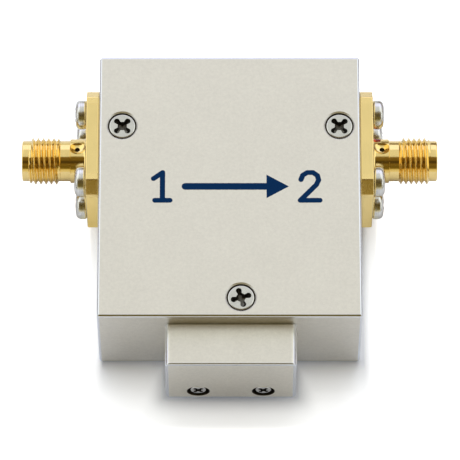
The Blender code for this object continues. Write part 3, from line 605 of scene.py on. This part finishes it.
def cross_rings(top, reach, half, end_r, hub, depth, turn):
    """The print of a cross recess punch: a star whose radius follows the angle, out along the side of a bar,
    half over the sine, and round its blunt end, c cos + sqrt(r^2 - c^2 sin^2), but never less than the hub's.
    Below the face the reach shrinks faster than the width, and a cone ends it in the middle."""
    angle = np.radians(np.linspace(-45, 45, CROSS_POINTS + 1)[:-1])
    across = np.abs(np.sin(angle))
    full = np.radians(np.linspace(-45, 315, 4 * CROSS_POINTS + 1)[:-1] + turn)
    rings = []
    drafts = [(top, 1.0, 1.0), (0.0, 1.0, 1.0)] + [(-depth * d, a, b) for d, a, b in CROSS_DRAFT]
    for level, long, wide in drafts:
        c, r = (reach - end_r) * long, end_r * wide
        bar = half * wide / np.maximum(across, 1e-6)
        end = c * np.cos(angle) + np.sqrt(np.maximum(r**2 - (c * across) ** 2, 0))
        radius = np.tile(np.maximum(np.where(c * across < r, end, bar), hub * wide), 4)
        ring = np.stack([radius * np.cos(full), radius * np.sin(full), level + 0 * radius], -1)
        rings.append(np.concatenate([ring, ring[:1]]))
    pole = rings[-1] * (0, 0, 1) - (0, 0, CROSS_PILOT * depth)
    return np.array([*rings, pole])


def add_screw(name, node, size, low, high, head, sides, cross, turn, looks, origin, towards="+Z"):
    """A screw from its point, at low, along its thread to high and on up its head, with a cross recess."""
    crest, root, pitch, point_r, cone, start = size
    point = [(low, 0), (low, point_r), (low + cone, root), (low + start, root)]
    thread = thread_rings(low + start, high, crest, root, pitch, sides)
    rings = np.concatenate([turned_rings(point, sides), thread, turned_rings(head, sides)])
    made = skin(name, rings, looks[0], origin, towards)
    recess = cross_rings(**cross, turn=turn) + (0, 0, head[-1][0])
    # The recess takes the second look, a dark steel that paints the shade in it.
    carve(made, [skin("cutter", recess, looks[1], origin, towards)])
    settle(made, "stainless_steel", node)


tumbled_steel = make_tumbled_steel("tumbled stainless", STAINLESS, 0.17)
# The dark grey steel in the cross recesses is painted shade.
recess_shade_steel = make_tumbled_steel("stainless in a recess", RECESS_SHADE_GREY, 0.4)
cover_looks = (tumbled_steel, recess_shade_steel)
rim = arc(COVER_LENGTH - COVER_RIM, COVER_FLAT_R, COVER_RIM, 90 - COVER_RIM_SLOPE, 90)
rim_foot = rim[0][0] - (COVER_HEAD_R - rim[0][1]) * math.tan(math.radians(COVER_RIM_SLOPE))
cone_top = rim_foot - COVER_CYLINDER
cone_foot = cone_top - (COVER_HEAD_R - M2_CREST)
cover_head = [(cone_foot, COVER_NECK_R), (cone_top, COVER_HEAD_R), (rim_foot, COVER_HEAD_R), *rim]
cover_head.append((COVER_LENGTH, 0))
for side, (x, y, turn) in COVER_SCREWS.items():
    name, origin = "cover_screw_" + side, (x, y, BOX_H - COVER_SUNK - COVER_LENGTH)
    add_screw(name + "_turned", name, M2, 0, cone_foot, cover_head, 72, M2_CROSS, turn, cover_looks, origin)


# Jacks
# Two SMA jacks. The body of each is one piece of brass, turned and milled, then plated with gold: a square
# flange with cut corners, a stepped collar, and a barrel with a 1/4-36 thread. A PTFE insulator is pressed
# in, and the gold-plated contact runs through it. Potting in a side hole locks them.
GOLD, PLATE_PALER = (0.92, 0.7, 0.285), (1.03, 1.05, 1.12)
PLATE_ROUGH, CUT_ROUGH = 0.17, 0.27
# The second colour here is painted shade on the PTFE at the floor of the jack's side hole.
PTFE, SIDE_HOLE_SHADE_BLACK = (0.86, 0.85, 0.82), (0.02, 0.017, 0.015)
DAB_BRIGHT, DAB_DARK = (0.9, 0.12, 0.015), (0.24, 0.015, 0.003)
DAB_X, DAB_LENGTH, DAB_ANGLE, DAB_SPAN, DAB_OUT = 19.78, 0.68, 48.0, 15.0, 0.35
TO_AXIS = (0, -JACK_Y * MM, -JACK_Z * MM)
FLANGE_BACK, FLANGE_FACE, FLANGE_OVERLAP = 17.53, 19.28, 0.3
FLANGE_W, FLANGE_H, FLANGE_CORNER, FLANGE_BREAK, CORNER_NEAR = 15.5, 13.4, 1.6, 0.14, 0.5
COLLAR_FOOT, COLLAR_R, COLLAR_END, COLLAR_BREAK = 0.5, 2.98, 21.55, 0.07
NECK_R, THREAD_START, THREAD_END = 2.75, 22.85, 27.13
THREAD_R, THREAD_ROOT, THREAD_PITCH = 3.2, 2.741, 0.7056
THREAD_PHASE, THREAD_SHAPE, THREAD_FADE = 0.885, (0.1, 0.15), 0.4
THREAD_CROWN = (0.0, 0.012, 0.025, 0.042, 0.07, 0.12)
BARREL_SIDES = 128
LEAD_IN_R, TIP, TIP_ROUND = 2.74, 28.05, 0.18
BORE_R, BORE_BREAK, REFERENCE, INNER_BORE = 2.3, 0.08, 26.15, 2.08
POTTING_X, POTTING_SINK_R, POTTING_HOLE_R, POTTING_LEAN = 20.55, 1.02, 0.34, 10.9
POTTING_DEEP, POTTING_OUT, POTTING_LANDS, POTTING_SPREAD = 1.6, 3.6, 0.35, 0.15
DISH_R, DISH_RIM, DISH_PAST = 1.55, 2.9, 4
POTTING_SIDES, POTTING_ROLL = 72, 0.7
INSULATOR_R, INSULATOR_BACK, INSULATOR_BREAK = 2.05, 15.1, 0.06
CONTACT_R, CONTACT_BACK, CONTACT_BREAK = 0.635, 15.6, 0.05
CONTACT_BORE, CONTACT_BORE_DEPTH, CONTACT_DRILL = 0.465, 2.6, 0.25
TAIL_R, TAIL_END = 0.45, 12.7
SLOT_WIDTH, SLOT_ACROSS, SLOT_CORNER, SLOT_DEPTH = 0.2, 2.0, 0.02, 2.1


def octagon_rings(width, height, corner, levels):
    """A rectangle with its corners cut at 45 degrees, at each level."""
    a, b = width / 2, height / 2
    x = np.array([a, a - corner, corner - a, -a, -a, corner - a, a - corner, a, a])
    y = np.array([b - corner, b, b, b - corner, corner - b, -b, -b, corner - b, b - corner])
    return np.stack([np.stack([x, y, level + 0 * x], -1) for level in levels])


def lacquer_dab(place, x, y, z):
    """Mask of the inspector's dab of red lacquer, where the right collar meets the flange, and the share of it
    that is thick and dark. Its angle is counted from the top towards the back."""
    loose = (noise(place, 2.2 / MM) - 0.5) * 0.5
    across = (calculate("ARCTAN2", y, z) - math.radians(DAB_ANGLE)) / math.radians(DAB_SPAN)
    along = (x - DAB_X * MM) / (DAB_LENGTH * MM)
    on_collar = calculate("LESS_THAN", length(y, z), (COLLAR_R + DAB_OUT) * MM)
    mask = ramp(length(across, along) + loose, 0.95, 1.05, 1.0, 0.0) * on_collar
    return mask, ramp(along, -0.35, 0.2, smooth=True)


def make_gold(name, roughness, brushed, dab=False):
    """Gold plating: turning rings on the barrel, brushed lines on the flange, and rougher cut corners."""
    made, shader, place = start_finish(name, 1.0, roughness)
    middle = vector("ADD", place, TO_AXIS)
    x, y, z = split(middle)
    rings = use_effect(RINGS, middle, Feed=0.05)
    grain, patch = use_effect(GRAIN, place, Size=0.13, Patches=2.5)
    lines = use_effect(LAY, place, Stretch=(9.0, 0.35, 9.0))
    plate = calculate("LESS_THAN", abs(x), (FLANGE_FACE + 0.02) * MM)
    colour = shaded(shader, GOLD, (grain, 0.03), (patch, 0.03), (lines, brushed))
    colour = mixed(plate, colour, mixed(1.0, colour, PLATE_PALER, "MULTIPLY"))
    height = between(plate, rings * 0.5, lines + grain * 0.6)
    cut_from = (FLANGE_W + FLANGE_H) / 2 - FLANGE_CORNER - CORNER_NEAR
    cut = calculate("GREATER_THAN", abs(y) + abs(z), cut_from * MM)
    rough = between(plate, roughness, between(cut, PLATE_ROUGH, CUT_ROUGH))
    if dab:
        mask, dark = lacquer_dab(place, x, y, z)
        colour = painted(shader, mask, colour, mixed(dark, DAB_BRIGHT, DAB_DARK), 0.02)
        height = height + mask * 3.0
    fill(shader, {"Base Color": colour, "Roughness": rough + ramp(patch, 0.25, 0.75, -0.03, 0.03)})
    raised(shader, height, 0.004)
    return made


def make_fluoropolymer():
    """Turned PTFE: milky, with faint tool rings, and black under the side hole, painted shade at the hole's
    floor.
    """
    made, shader, place = start_finish("turned PTFE", 0.0, 0.45)
    fill(shader, {"Subsurface Weight": 0.15, "Subsurface Scale": 0.4 * MM})
    middle = vector("ADD", place, TO_AXIS)
    x, y, _ = split(middle)
    rings = use_effect(RINGS, middle, Feed=0.09)
    grain, patch = use_effect(GRAIN, place, Size=0.2, Patches=2.0)
    white = shaded(shader, PTFE, (rings, 0.02), (patch, 0.02))
    off = length(abs(x) - POTTING_X * MM, y - POTTING_LANDS * MM)
    # Painted shade: black in a disc where the side hole opens onto the PTFE.
    colour = mixed(calculate("LESS_THAN", off, (POTTING_HOLE_R + POTTING_SPREAD) * MM), white, SIDE_HOLE_SHADE_BLACK)
    fill(shader, {"Base Color": colour, "Roughness": ramp(grain, 0.2, 0.8, 0.4, 0.55)})
    raised(shader, rings + grain, 0.004)
    return made


def potting_cutter(way):
    """A ball-nosed countersink that leans a little to the back: a hole, an arc of a ball, and its shank."""
    rim = math.degrees(math.asin(POTTING_SINK_R / DISH_R))
    mouth = math.degrees(math.asin(POTTING_HOLE_R / DISH_R))
    middle = DISH_RIM + DISH_R * math.cos(math.radians(rim))
    ball = arc(middle, 0, DISH_R, mouth - 90, rim + DISH_PAST - 90, 10)
    hole = [(POTTING_DEEP, 0), (POTTING_DEEP, POTTING_HOLE_R)]
    rings = turned_rings([*hole, *ball, (POTTING_OUT, ball[-1][1]), (POTTING_OUT, 0)], POTTING_SIDES)
    lean, roll = math.radians(-POTTING_LEAN), math.radians(POTTING_ROLL)
    tip = np.array([[1, 0, 0], [0, math.cos(lean), -math.sin(lean)], [0, math.sin(lean), math.cos(lean)]])
    spin = np.array([[math.cos(roll), -math.sin(roll), 0], [math.sin(roll), math.cos(roll), 0], [0, 0, 1]])
    return skin("cutter", rings @ (tip @ spin).T, None, (way * POTTING_X, JACK_Y, JACK_Z))


def make_jack(side, towards, look):
    """The jack's body, turned from the flange out to the tip and back down the bore, with its holes."""
    foot_r, start = COLLAR_R + COLLAR_FOOT, FLANGE_BACK + FLANGE_OVERLAP
    before = [(start, 0), (start, foot_r)]
    before += arc(FLANGE_FACE + COLLAR_FOOT, foot_r, COLLAR_FOOT, -90, -180, 8)
    before += [(COLLAR_END - COLLAR_BREAK, COLLAR_R), (COLLAR_END, COLLAR_R - COLLAR_BREAK)]
    before += [(COLLAR_END, NECK_R), (THREAD_START, THREAD_ROOT)]
    size = (THREAD_START, THREAD_END, THREAD_R, THREAD_ROOT, THREAD_PITCH, BARREL_SIDES)
    thread = thread_rings(*size, THREAD_PHASE, THREAD_SHAPE, THREAD_FADE, THREAD_CROWN)
    tip = arc(TIP - TIP_ROUND, LEAD_IN_R - TIP_ROUND, TIP_ROUND, 0, 90)
    bore = [(TIP, BORE_R + BORE_BREAK), (TIP - BORE_BREAK, BORE_R), (REFERENCE, BORE_R), (REFERENCE, 0)]
    after = turned_rings([(THREAD_END, THREAD_ROOT), *tip, *bore], BARREL_SIDES)
    rings = np.concatenate([turned_rings(before, BARREL_SIDES), thread, after])
    barrel = skin("cutter", rings, None, JACK_AXIS, towards)
    plate = octagon_rings(FLANGE_W, FLANGE_H, FLANGE_CORNER, (FLANGE_BACK, FLANGE_FACE))
    body = skin(side + "_jack_body", plate, look, (0, JACK_Y, FLANGE_MIDDLE_Z), towards)
    broken = body.modifiers.new("broken edges", "BEVEL")
    broken.width, broken.segments = FLANGE_BREAK * MM, 3
    carve(body, [])
    carve(body, [barrel], "UNION")
    cutters = [rod(INNER_BORE, FLANGE_BACK - PAST, REFERENCE + PAST, JACK_AXIS, towards, 96)]
    for y, z in FLANGE_SCREWS.values():
        cutters.append(rod(M2_HOLE, FLANGE_BACK - PAST, FLANGE_FACE + PAST, (0, y, z), towards))
    carve(body, cutters)
    carve(body, [potting_cutter(1 if towards == "+X" else -1)])
    body.data.materials.clear()
    body.data.materials.append(look)
    return body


def make_insulator(side, towards, look):
    """The PTFE rod with the contact's bore, and a small broken edge at both ends."""
    b = INSULATOR_BREAK
    profile = [(INSULATOR_BACK, TAIL_R), (INSULATOR_BACK, INSULATOR_R - b), (INSULATOR_BACK + b, INSULATOR_R)]
    profile += [(REFERENCE - b, INSULATOR_R), (REFERENCE, INSULATOR_R - b), (REFERENCE, CONTACT_R)]
    profile += [(CONTACT_BACK, CONTACT_R), (CONTACT_BACK, TAIL_R), (INSULATOR_BACK, TAIL_R)]
    return skin(side + "_jack_insulator", turned_rings(profile), look, JACK_AXIS, towards)


def make_contact(side, towards, look):
    """The socket contact: a solder tail, a slimmer neck in the rod, and a bore slotted into four springs."""
    b, floor = CONTACT_BREAK, REFERENCE - CONTACT_BORE_DEPTH
    profile = [(TAIL_END, 0), (TAIL_END, TAIL_R - b), (TAIL_END + b, TAIL_R), (CONTACT_BACK, TAIL_R)]
    profile += [(CONTACT_BACK, CONTACT_R), (REFERENCE - b, CONTACT_R), (REFERENCE, CONTACT_R - b)]
    profile += [(REFERENCE, CONTACT_BORE + b), (REFERENCE - b, CONTACT_BORE), (floor, CONTACT_BORE)]
    rings = turned_rings([*profile, (floor - CONTACT_DRILL, 0)], 48)
    made = skin(side + "_jack_contact", rings, look, JACK_AXIS, towards)
    for sizes in ((SLOT_WIDTH, SLOT_ACROSS), (SLOT_ACROSS, SLOT_WIDTH)):
        slot = rectangle_rings(*sizes, SLOT_CORNER, [(REFERENCE - SLOT_DEPTH, 0), (REFERENCE + PAST, 0)], 2)
        carve(made, [skin("cutter", slot, None, JACK_AXIS, towards)])
    return made


ptfe = make_fluoropolymer()
plain_gold = make_gold("gold plating", 0.13, 0.03)
dabbed_gold = make_gold("gold plating with lacquer dab", 0.13, 0.03, dab=True)
contact_gold = make_gold("contact gold", 0.16, 0.02)
for side, towards, look in (("left", "-X", plain_gold), ("right", "+X", dabbed_gold)):
    settle(make_jack(side, towards, look), "gold_plating", side + "_connector_body")
    settle(make_insulator(side, towards, ptfe), "fluoropolymer", side + "_insulator")
    settle(make_contact(side, towards, contact_gold), "gold_plating", side + "_centre_contact")


# Flange screws
# Eight M2 pan head screws of polished stainless steel, four to a jack. They go through the flange and the
# box's wall and into the frame. Their heads are cold formed, so every edge of them is rounded.
POLISHED = (0.7, 0.7, 0.675)
PAN_R, PAN_H, PAN_TOP_ROUND, PAN_FOOT_ROUND, PAN_DOME = 1.97, 1.6, 0.68, 0.34, 0.1
PAN_SEAT, PAN_NECK, PAN_SHANK = FLANGE_FACE + 0.03, 0.15, 6.0
PAN_TURNS = {"left": (20, 65, 38, 8), "right": (52, 12, 75, 33)}

pan_looks = (make_tumbled_steel("polished stainless", POLISHED, 0.25, 0.2), recess_shade_steel)
pan_top_r = PAN_R - PAN_TOP_ROUND
pan_head = [(-PAN_NECK, M2_ROOT), (0, M2_ROOT + PAN_NECK)]
pan_head += arc(PAN_FOOT_ROUND, PAN_R - PAN_FOOT_ROUND, PAN_FOOT_ROUND, -90, 0, 5)
pan_head += arc(PAN_H - PAN_DOME - PAN_TOP_ROUND, pan_top_r, PAN_TOP_ROUND, 0, 90, 7)
pan_head += [(PAN_H - PAN_DOME * (r / pan_top_r) ** 2, r) for r in np.linspace(pan_top_r, 0, 9)[1:]]
for side, turns in PAN_TURNS.items():
    towards, seat = ("+X", PAN_SEAT) if side == "right" else ("-X", -PAN_SEAT)
    for (place, (y, z)), turn in zip(FLANGE_SCREWS.items(), turns):
        names = (side + "_pan_screw_" + place, side + "_flange_screw_" + place)
        shape = (M2, -PAN_SHANK, -PAN_NECK, pan_head, 64, M2_CROSS, turn)
        add_screw(*names, *shape, pan_looks, (seat, y, z), towards)


# Load
# The third port ends in a resistor chip, soldered to a copper carrier under a ceramic lid. All of it sits in
# a block on the box's front, milled and nickel plated like the box and held by two small screws.
COPPER, RESISTIVE_BLACK = (0.8, 0.42, 0.27), (0.05, 0.045, 0.045)
LOAD_X, LOAD_W = 0.15, 17.4
LOAD_BACK, LOAD_FRONT = 19.18, 25.1
LOAD_LOW, LOAD_HIGH = 1.6, 12.9
LOAD_CORNER, LOAD_EDGE, LOAD_BACK_EDGE = 0.8, 0.22, 0.06
HOLLOW_W, HOLLOW_LOW, HOLLOW_HIGH, HOLLOW_DEPTH, HOLLOW_CORNER = 12.6, 5.2, 11.44, 4.5, 1.0
COUNTERBORE_R, COUNTERBORE_FLOOR, COUNTERBORE_BREAK = 1.465, 24.2, 0.07
# Painted shade: the small cross recesses get a near-black steel.
SMALL_RECESS_SHADE_GREY = (0.035, 0.033, 0.03)
HEAD_R, HEAD_H, HEAD_FACE, HEAD_ROUND, HEAD_BREAK = 1.08, 0.75, 24.95, 0.14, 0.05
LOAD_SCREW_LENGTH, LOAD_SCREW_NECK, LOAD_NECK_R = 8.0, 0.1, 0.6
M1_4 = (0.68, 0.52, 0.3, 0.4, 0.2, 0.3)  # as for M2
SMALL_CROSS = {"top": 0.4, "reach": 0.8, "half": 0.19, "end_r": 0.25, "hub": 0.38, "depth": 0.6}


def make_plain(name, colour, metallic, roughness, grain_size, depth, spread):
    """A part inside the load: its grain only, with a bump depth and a spread of colour."""
    made, shader, place = start_finish(name, metallic, roughness)
    grain, patch = use_effect(GRAIN, place, Size=grain_size, Patches=2.0)
    shaded(shader, colour, (grain, spread), (patch, spread))
    fill(shader, {"Roughness": ramp(grain, 0.2, 0.8, roughness * 0.85, roughness * 1.15)})
    raised(shader, grain, depth)
    return made


def make_load_block(look):
    """The block, rounded along its front and corners, with its hollow and its two counterbored holes."""
    profile = [(LOAD_BACK, -LOAD_BACK_EDGE), (LOAD_BACK + LOAD_BACK_EDGE, 0.0)]
    profile += arc(LOAD_FRONT - LOAD_EDGE, -LOAD_EDGE, LOAD_EDGE, 0, 90, 5)
    block = rectangle_rings(LOAD_HIGH - LOAD_LOW, LOAD_W, LOAD_CORNER, profile)
    block = skin("load_block", block, look, (LOAD_X, 0, (LOAD_HIGH + LOAD_LOW) / 2), "-Y")
    deep = [(LOAD_BACK - PAST, 0), (LOAD_BACK + HOLLOW_DEPTH, 0)]
    hollow = rectangle_rings(HOLLOW_HIGH - HOLLOW_LOW, HOLLOW_W, HOLLOW_CORNER, deep)
    carve(block, [skin("cutter", hollow, None, (LOAD_X, 0, (HOLLOW_HIGH + HOLLOW_LOW) / 2), "-Y")])
    broken_r, out, inside = COUNTERBORE_R + COUNTERBORE_BREAK, LOAD_FRONT + PAST, LOAD_BACK - PAST
    bore = [(inside, 0), (inside, M1_4_HOLE), (COUNTERBORE_FLOOR, M1_4_HOLE)]
    bore += [(COUNTERBORE_FLOOR, COUNTERBORE_R), (LOAD_FRONT - COUNTERBORE_BREAK, COUNTERBORE_R)]
    bore = turned_rings([*bore, (LOAD_FRONT, broken_r), (out, broken_r), (out, 0)], 80)
    # The counterbores take the nickel with painted shade, which lies below the box's top edge, so they are
    # painted dark all through.
    return carve(block, [skin("cutter", bore, shaded_sink_nickel, (x, 0, LOAD_SCREW_Z), "-Y") for x in LOAD_SCREWS])


dress(make_plain("copper carrier", COPPER, 1.0, 0.3, 0.2, 0.004, 0.07), "load_carrier")
dress(make_plain("resistive film", RESISTIVE_BLACK, 0.0, 0.4, 0.1, 0.003, 0.2), "load_chip")
dress(silver_plate, "load_lead")
dress(ceramic, "load_lid")
spans = ((LOAD_X - LOAD_W / 2, LOAD_X + LOAD_W / 2), (-LOAD_FRONT, -LOAD_BACK), (LOAD_LOW, LOAD_HIGH))
plain_nickel = make_nickel("satin nickel", False, spans, (0.5, 0.25, 0.5))
settle(make_load_block(plain_nickel), "nickel_plating", "load_housing")
small_looks = (tumbled_steel, make_tumbled_steel("stainless in a small recess", SMALL_RECESS_SHADE_GREY, 0.5))
seat = HEAD_FACE - HEAD_H
cheese_head = [(seat - LOAD_SCREW_NECK, LOAD_NECK_R), (seat, LOAD_NECK_R + HEAD_BREAK)]
cheese_head += [(seat, HEAD_R - HEAD_BREAK), (seat + HEAD_BREAK, HEAD_R)]
cheese_head += arc(HEAD_FACE - HEAD_ROUND, HEAD_R - HEAD_ROUND, HEAD_ROUND, 0, 90) + [(HEAD_FACE, 0)]
for side, x, turn in (("left", LOAD_SCREWS[0], 45), ("right", LOAD_SCREWS[1], 50)):
    name, low, high = "load_screw_" + side, seat - LOAD_SCREW_LENGTH, seat - LOAD_SCREW_NECK
    shape = (M1_4, low, high, cheese_head, 40, SMALL_CROSS, turn)
    add_screw(name + "_turned", name, *shape, small_looks, (x, 0, LOAD_SCREW_Z), "-Y")


# Set
# The device lies on a white sheet in a light tent. A dark gap of the room shows through the tent's opening,
# above and in front of the camera, and polished gold mirrors it as a dark band. The sheet glows white away from
# the device, and that glow rises from the device's foot outwards, which paints the falloff of its shadow.
# Painted reflections of light on the sheet before and beside the box show only in mirrors.
BLACK, WHITE = (0.0, 0.0, 0.0), (1.0, 1.0, 1.0)
TENT_WHITE = (0.95, 0.965, 0.915)
TENT_TOP, TENT_SIDES = 0.84, 1.37
BACK_BOX = (1.25, 1.26, 1.5)
BACK_LOW, BACK_HIGH = 80.0, 44.0  # behind straight up
SIDES_FROM, SIDES_TO = 0.2, 0.97
SIDES_LOW, SIDES_HIGH = 9.0, 65.0
FRONT_LOW, FRONT_HIGH = (0.8, 0.78, 0.68), (0.66, 0.54, 0.22)
FRONT_END = 91.0  # in front of straight up, as are the angles of the opening
OPENING = (
    (2.0, (0.24, 0.17, 0.04)),
    (11.0, (0.17, 0.11, 0.022)),
    (20.0, (0.17, 0.115, 0.025)),
    (28.0, (0.07, 0.045, 0.01)),
    (34.0, (0.07, 0.045, 0.01)),
    (46.0, (0.21, 0.14, 0.025)),
    (57.0, (0.14, 0.1, 0.02)),
    (63.0, (0.15, 0.105, 0.012)),
    (70.0, (0.25, 0.18, 0.015)),
)
OPENING_START, OPENING_END, OPENING_HALF = 1.0, 71.5, 0.74
ROOM_BROWN = (0.22, 0.17, 0.11)
OUTER = (0.55, 0.75)  # how far to the side the room shows under the tent
LOW_BACK, LOW_BACK_SHARE = (14.0, 24.0), 0.8
BEHIND, BEHIND_LEFT = (-83.0, -79.0), 0.1
SHEET_WHITE = (0.82, 0.84, 0.88)
SHEET_OUTLINE = ((-70, -400), (70, -400), (70, 53), (22, 53), (-22, 110), (-70, 110))
# The sheet's painted shadow: a glow seen straight rises with the distance from the device's foot over these
# reaches, from the foot value with a rise and a bend up to white, and is tinted bluish inside the shadow.
SHADOW_REACH, SHADOW_SIDE_REACH, SHADOW_BLOCK_REACH = 7.4, 1.7, 4.0
SHADOW_MIDDLE, SHADOW_UNDER_BLOCK = 0.5, 0.8
GLOW_FOOT, GLOW_RISE, GLOW_BEND = 0.02, 0.98, 0.5
PAINTED_SHADOW_TINT = (0.0, 0.015, 0.05)
# Painted reflections: light on the sheet that only mirrors see, bluish before the device's foot and warm beside
# the box.
PAINTED_REFLECTION_FOOT, PAINTED_REFLECTION_FAR, PAINTED_REFLECTION_FROM = (0.09, 0.115, 0.18), (0.0, 0.005, 0.035), 0.05
PAINTED_REFLECTION_BESIDE, BESIDE_RIGHT = (0.2, 0.18, 0.05), 0.6
BESIDE_X, BESIDE_Y = (17.6, 20.4), (-9.0, 1.0)
LAMP_WATTS, LAMP_SIZE, LAMP_PLACE = 3.3, 0.5, (0.0, 0.45, 0.8)
CAMERA_AIM = (0.0443, -3.1134, 7.5)
CAMERA_ELEVATION, CAMERA_DISTANCE, CAMERA_LENS = 65.0, 624.026, 363.46


def band(value, low, high, soft):
    """1 between low and high and 0 outside, with an edge this soft on each side."""
    above = ramp(value, low - soft, low + soft, smooth=True)
    return above * ramp(value, high - soft, high + soft, 1.0, 0.0, True)


def painted_shadow_glow(x, y):
    """A painted shadow on the sheet: the share of glow, about 0 at the device's foot and 1 and more out of the
    shadow's reach, and the distance in reaches of that shadow, which is long before the box, shorter before the
    load and short at the sides."""
    reaches = []
    for middle, half, front, back, side_reach, front_reach in (
        (SHADOW_MIDDLE, BOX_W / 2, BOX_D / 2, BOX_D / 2, SHADOW_SIDE_REACH, SHADOW_REACH),
        (LOAD_X, LOAD_W / 2, LOAD_FRONT - SHADOW_UNDER_BLOCK, 0.0, SHADOW_BLOCK_REACH, SHADOW_BLOCK_REACH),
    ):
        beside = most(abs(x - middle) - half, 0.0) / side_reach
        before = most(y * -1.0 - front, 0.0) / front_reach
        behind = most(y - back, 0.0) / SHADOW_SIDE_REACH
        reaches.append(length(beside, before, behind))
    reach = least(*reaches)
    near = least(reach, 1.0)
    far = ramp(reach, 0.95, 1.5, 0.0, 1.0 + GLOW_BEND - GLOW_FOOT - GLOW_RISE, True)
    return near * GLOW_RISE + (near * near * -GLOW_BEND + GLOW_FOOT) + far, reach


def make_sheet():
    """White paper with fibres, and painted light on it. Seen straight it glows, faint at the device's foot and
    white out of its reach, which paints the shadow's falloff. Mirrors see painted light before the foot and
    beside the box.
    """
    made = bpy.data.materials.new("white sheet")
    made.use_nodes = True
    tree = made.node_tree
    tree.nodes.clear()
    place = result(tree, "TexCoord", out="Object")
    grain, _ = use_effect(GRAIN, place, Size=0.6, Patches=9.0)
    paper = add_node(tree, "BsdfDiffuse", {"Color": SHEET_WHITE})
    raised(paper, grain, 0.004)
    path = {socket.name: Value(socket) for socket in add_node(tree, "LightPath").outputs}
    x, y, _ = split(vector("MULTIPLY", place, (1 / MM, 1 / MM, 0)))
    glow_past_painted_shadow, reach = painted_shadow_glow(x, y)
    # Painted shadow: the camera sees the sheet glow faint bluish at the device's foot and white out of the
    # shadow's reach.
    seen = mixed(path["Is Camera Ray"], BLACK, mixed(glow_past_painted_shadow, PAINTED_SHADOW_TINT, WHITE))
    # Painted reflection: light that only mirrors see, bluish before the foot and warm beside the box, off at the
    # foot itself.
    beside = band(abs(x), *BESIDE_X, 0.3) * band(y, *BESIDE_Y, 0.5) * ramp(x, -1.0, 1.0, 1.0, BESIDE_RIGHT)
    mirror = mixed(least(reach, 1.0), PAINTED_REFLECTION_FOOT, PAINTED_REFLECTION_FAR)
    mirror = mixed(beside, mirror, PAINTED_REFLECTION_BESIDE, "ADD")
    mirror = mixed(ramp(reach, 0.0, PAINTED_REFLECTION_FROM), BLACK, mirror)
    mirrored = most(path["Is Glossy Ray"], path["Is Transmission Ray"])
    glow = result(tree, "Emission", {"Color": mixed(mirrored, seen, mirror)})
    both = result(tree, "AddShader", {0: Value(paper.outputs[0]), 1: glow})
    add_node(tree, "OutputMaterial", {"Surface": both})
    return made


def make_tent():
    """The tent's light by direction: how far forwards from straight up, how far to a side, and how high."""
    world = bpy.data.worlds.new("light tent")
    world.use_nodes = True
    tree = world.node_tree
    tree.nodes.clear()
    x, y, z = split(result(tree, "TexCoord", out="Generated"))
    forwards = calculate("DEGREES", calculate("ARCTAN2", y * -1.0, z))
    beside = abs(x)
    height = calculate("DEGREES", calculate("ARCSINE", z))
    sides = band(beside, SIDES_FROM, SIDES_TO, 0.08) * band(height, SIDES_LOW, SIDES_HIGH, 6.0)
    tent = mixed(1.0, TENT_WHITE, between(sides, TENT_TOP, TENT_SIDES), "MULTIPLY")
    tent = mixed(band(forwards, -BACK_LOW, -BACK_HIGH, 2.0), tent, BACK_BOX)
    amid = band(beside, -1.0, OPENING_HALF, 0.06)
    front = mixed(ramp(forwards, OPENING_END, 90.0), FRONT_HIGH, FRONT_LOW)
    tent = mixed(band(forwards, OPENING_END, FRONT_END, 1.0) * amid, tent, front)
    outer = ramp(beside, *OUTER, smooth=True)
    low_sides = ramp(height, -2.0, 2.0, 1.0, 0.0, True) * outer
    low_back = ramp(height, *LOW_BACK, LOW_BACK_SHARE, 0.0, True) * ramp(y, 0.0, 0.2, smooth=True)
    behind = ramp(forwards, *BEHIND, 1.0, 0.0, True) * ramp(x, -0.02, 0.06, BEHIND_LEFT, 1.0, True)
    room = most(most(low_sides, low_back * outer), behind)
    tent = mixed(room, tent, ROOM_BROWN)
    bands = add_node(tree, "ValToRGB", {0: forwards / 90.0})
    stops = bands.color_ramp.elements
    while len(stops) < len(OPENING):
        stops.new(0.5)
    for stop, (angle, colour) in zip(stops, OPENING):
        stop.position, stop.color = angle / 90, (*colour, 1.0)
    opening = amid * band(forwards, OPENING_START, OPENING_END, 1.0)
    lit = mixed(opening, tent, Value(bands.outputs[0]))
    seen = mixed(result(tree, "LightPath", out="Is Camera Ray"), lit, WHITE)
    add_node(tree, "OutputWorld", {"Surface": result(tree, "Background", {"Color": seen})})
    return world


sheet_mesh = bpy.data.meshes.new("sheet")
sheet_mesh.from_pydata([(x * MM, y * MM, 0) for x, y in SHEET_OUTLINE], [], [range(len(SHEET_OUTLINE))])
sheet_mesh.materials.append(make_sheet())
add_object("sheet", sheet_mesh)

bpy.context.scene.world = make_tent()
lamp_data = bpy.data.lights.new("tent top lamp", "AREA")
lamp_data.size, lamp_data.energy = LAMP_SIZE, LAMP_WATTS
lamp = add_object("tent_top_lamp", lamp_data)
lamp.location = LAMP_PLACE
lamp.rotation_euler = (-Vector(LAMP_PLACE)).to_track_quat("-Z", "Y").to_euler()
lamp.visible_glossy = False

camera_data = bpy.data.cameras.new("camera")
camera_data.lens, camera_data.sensor_width = CAMERA_LENS, 36.0
camera = add_object("camera", camera_data)
tilt = math.radians(CAMERA_ELEVATION)
towards_camera = Vector((0.0, -math.cos(tilt), math.sin(tilt)))
camera.location = (Vector(CAMERA_AIM) + CAMERA_DISTANCE * towards_camera) * MM
camera.rotation_euler = (math.pi / 2 - tilt, 0.0, 0.0)
bpy.context.scene.camera = camera
bpy.context.scene.view_settings.view_transform = "Standard"
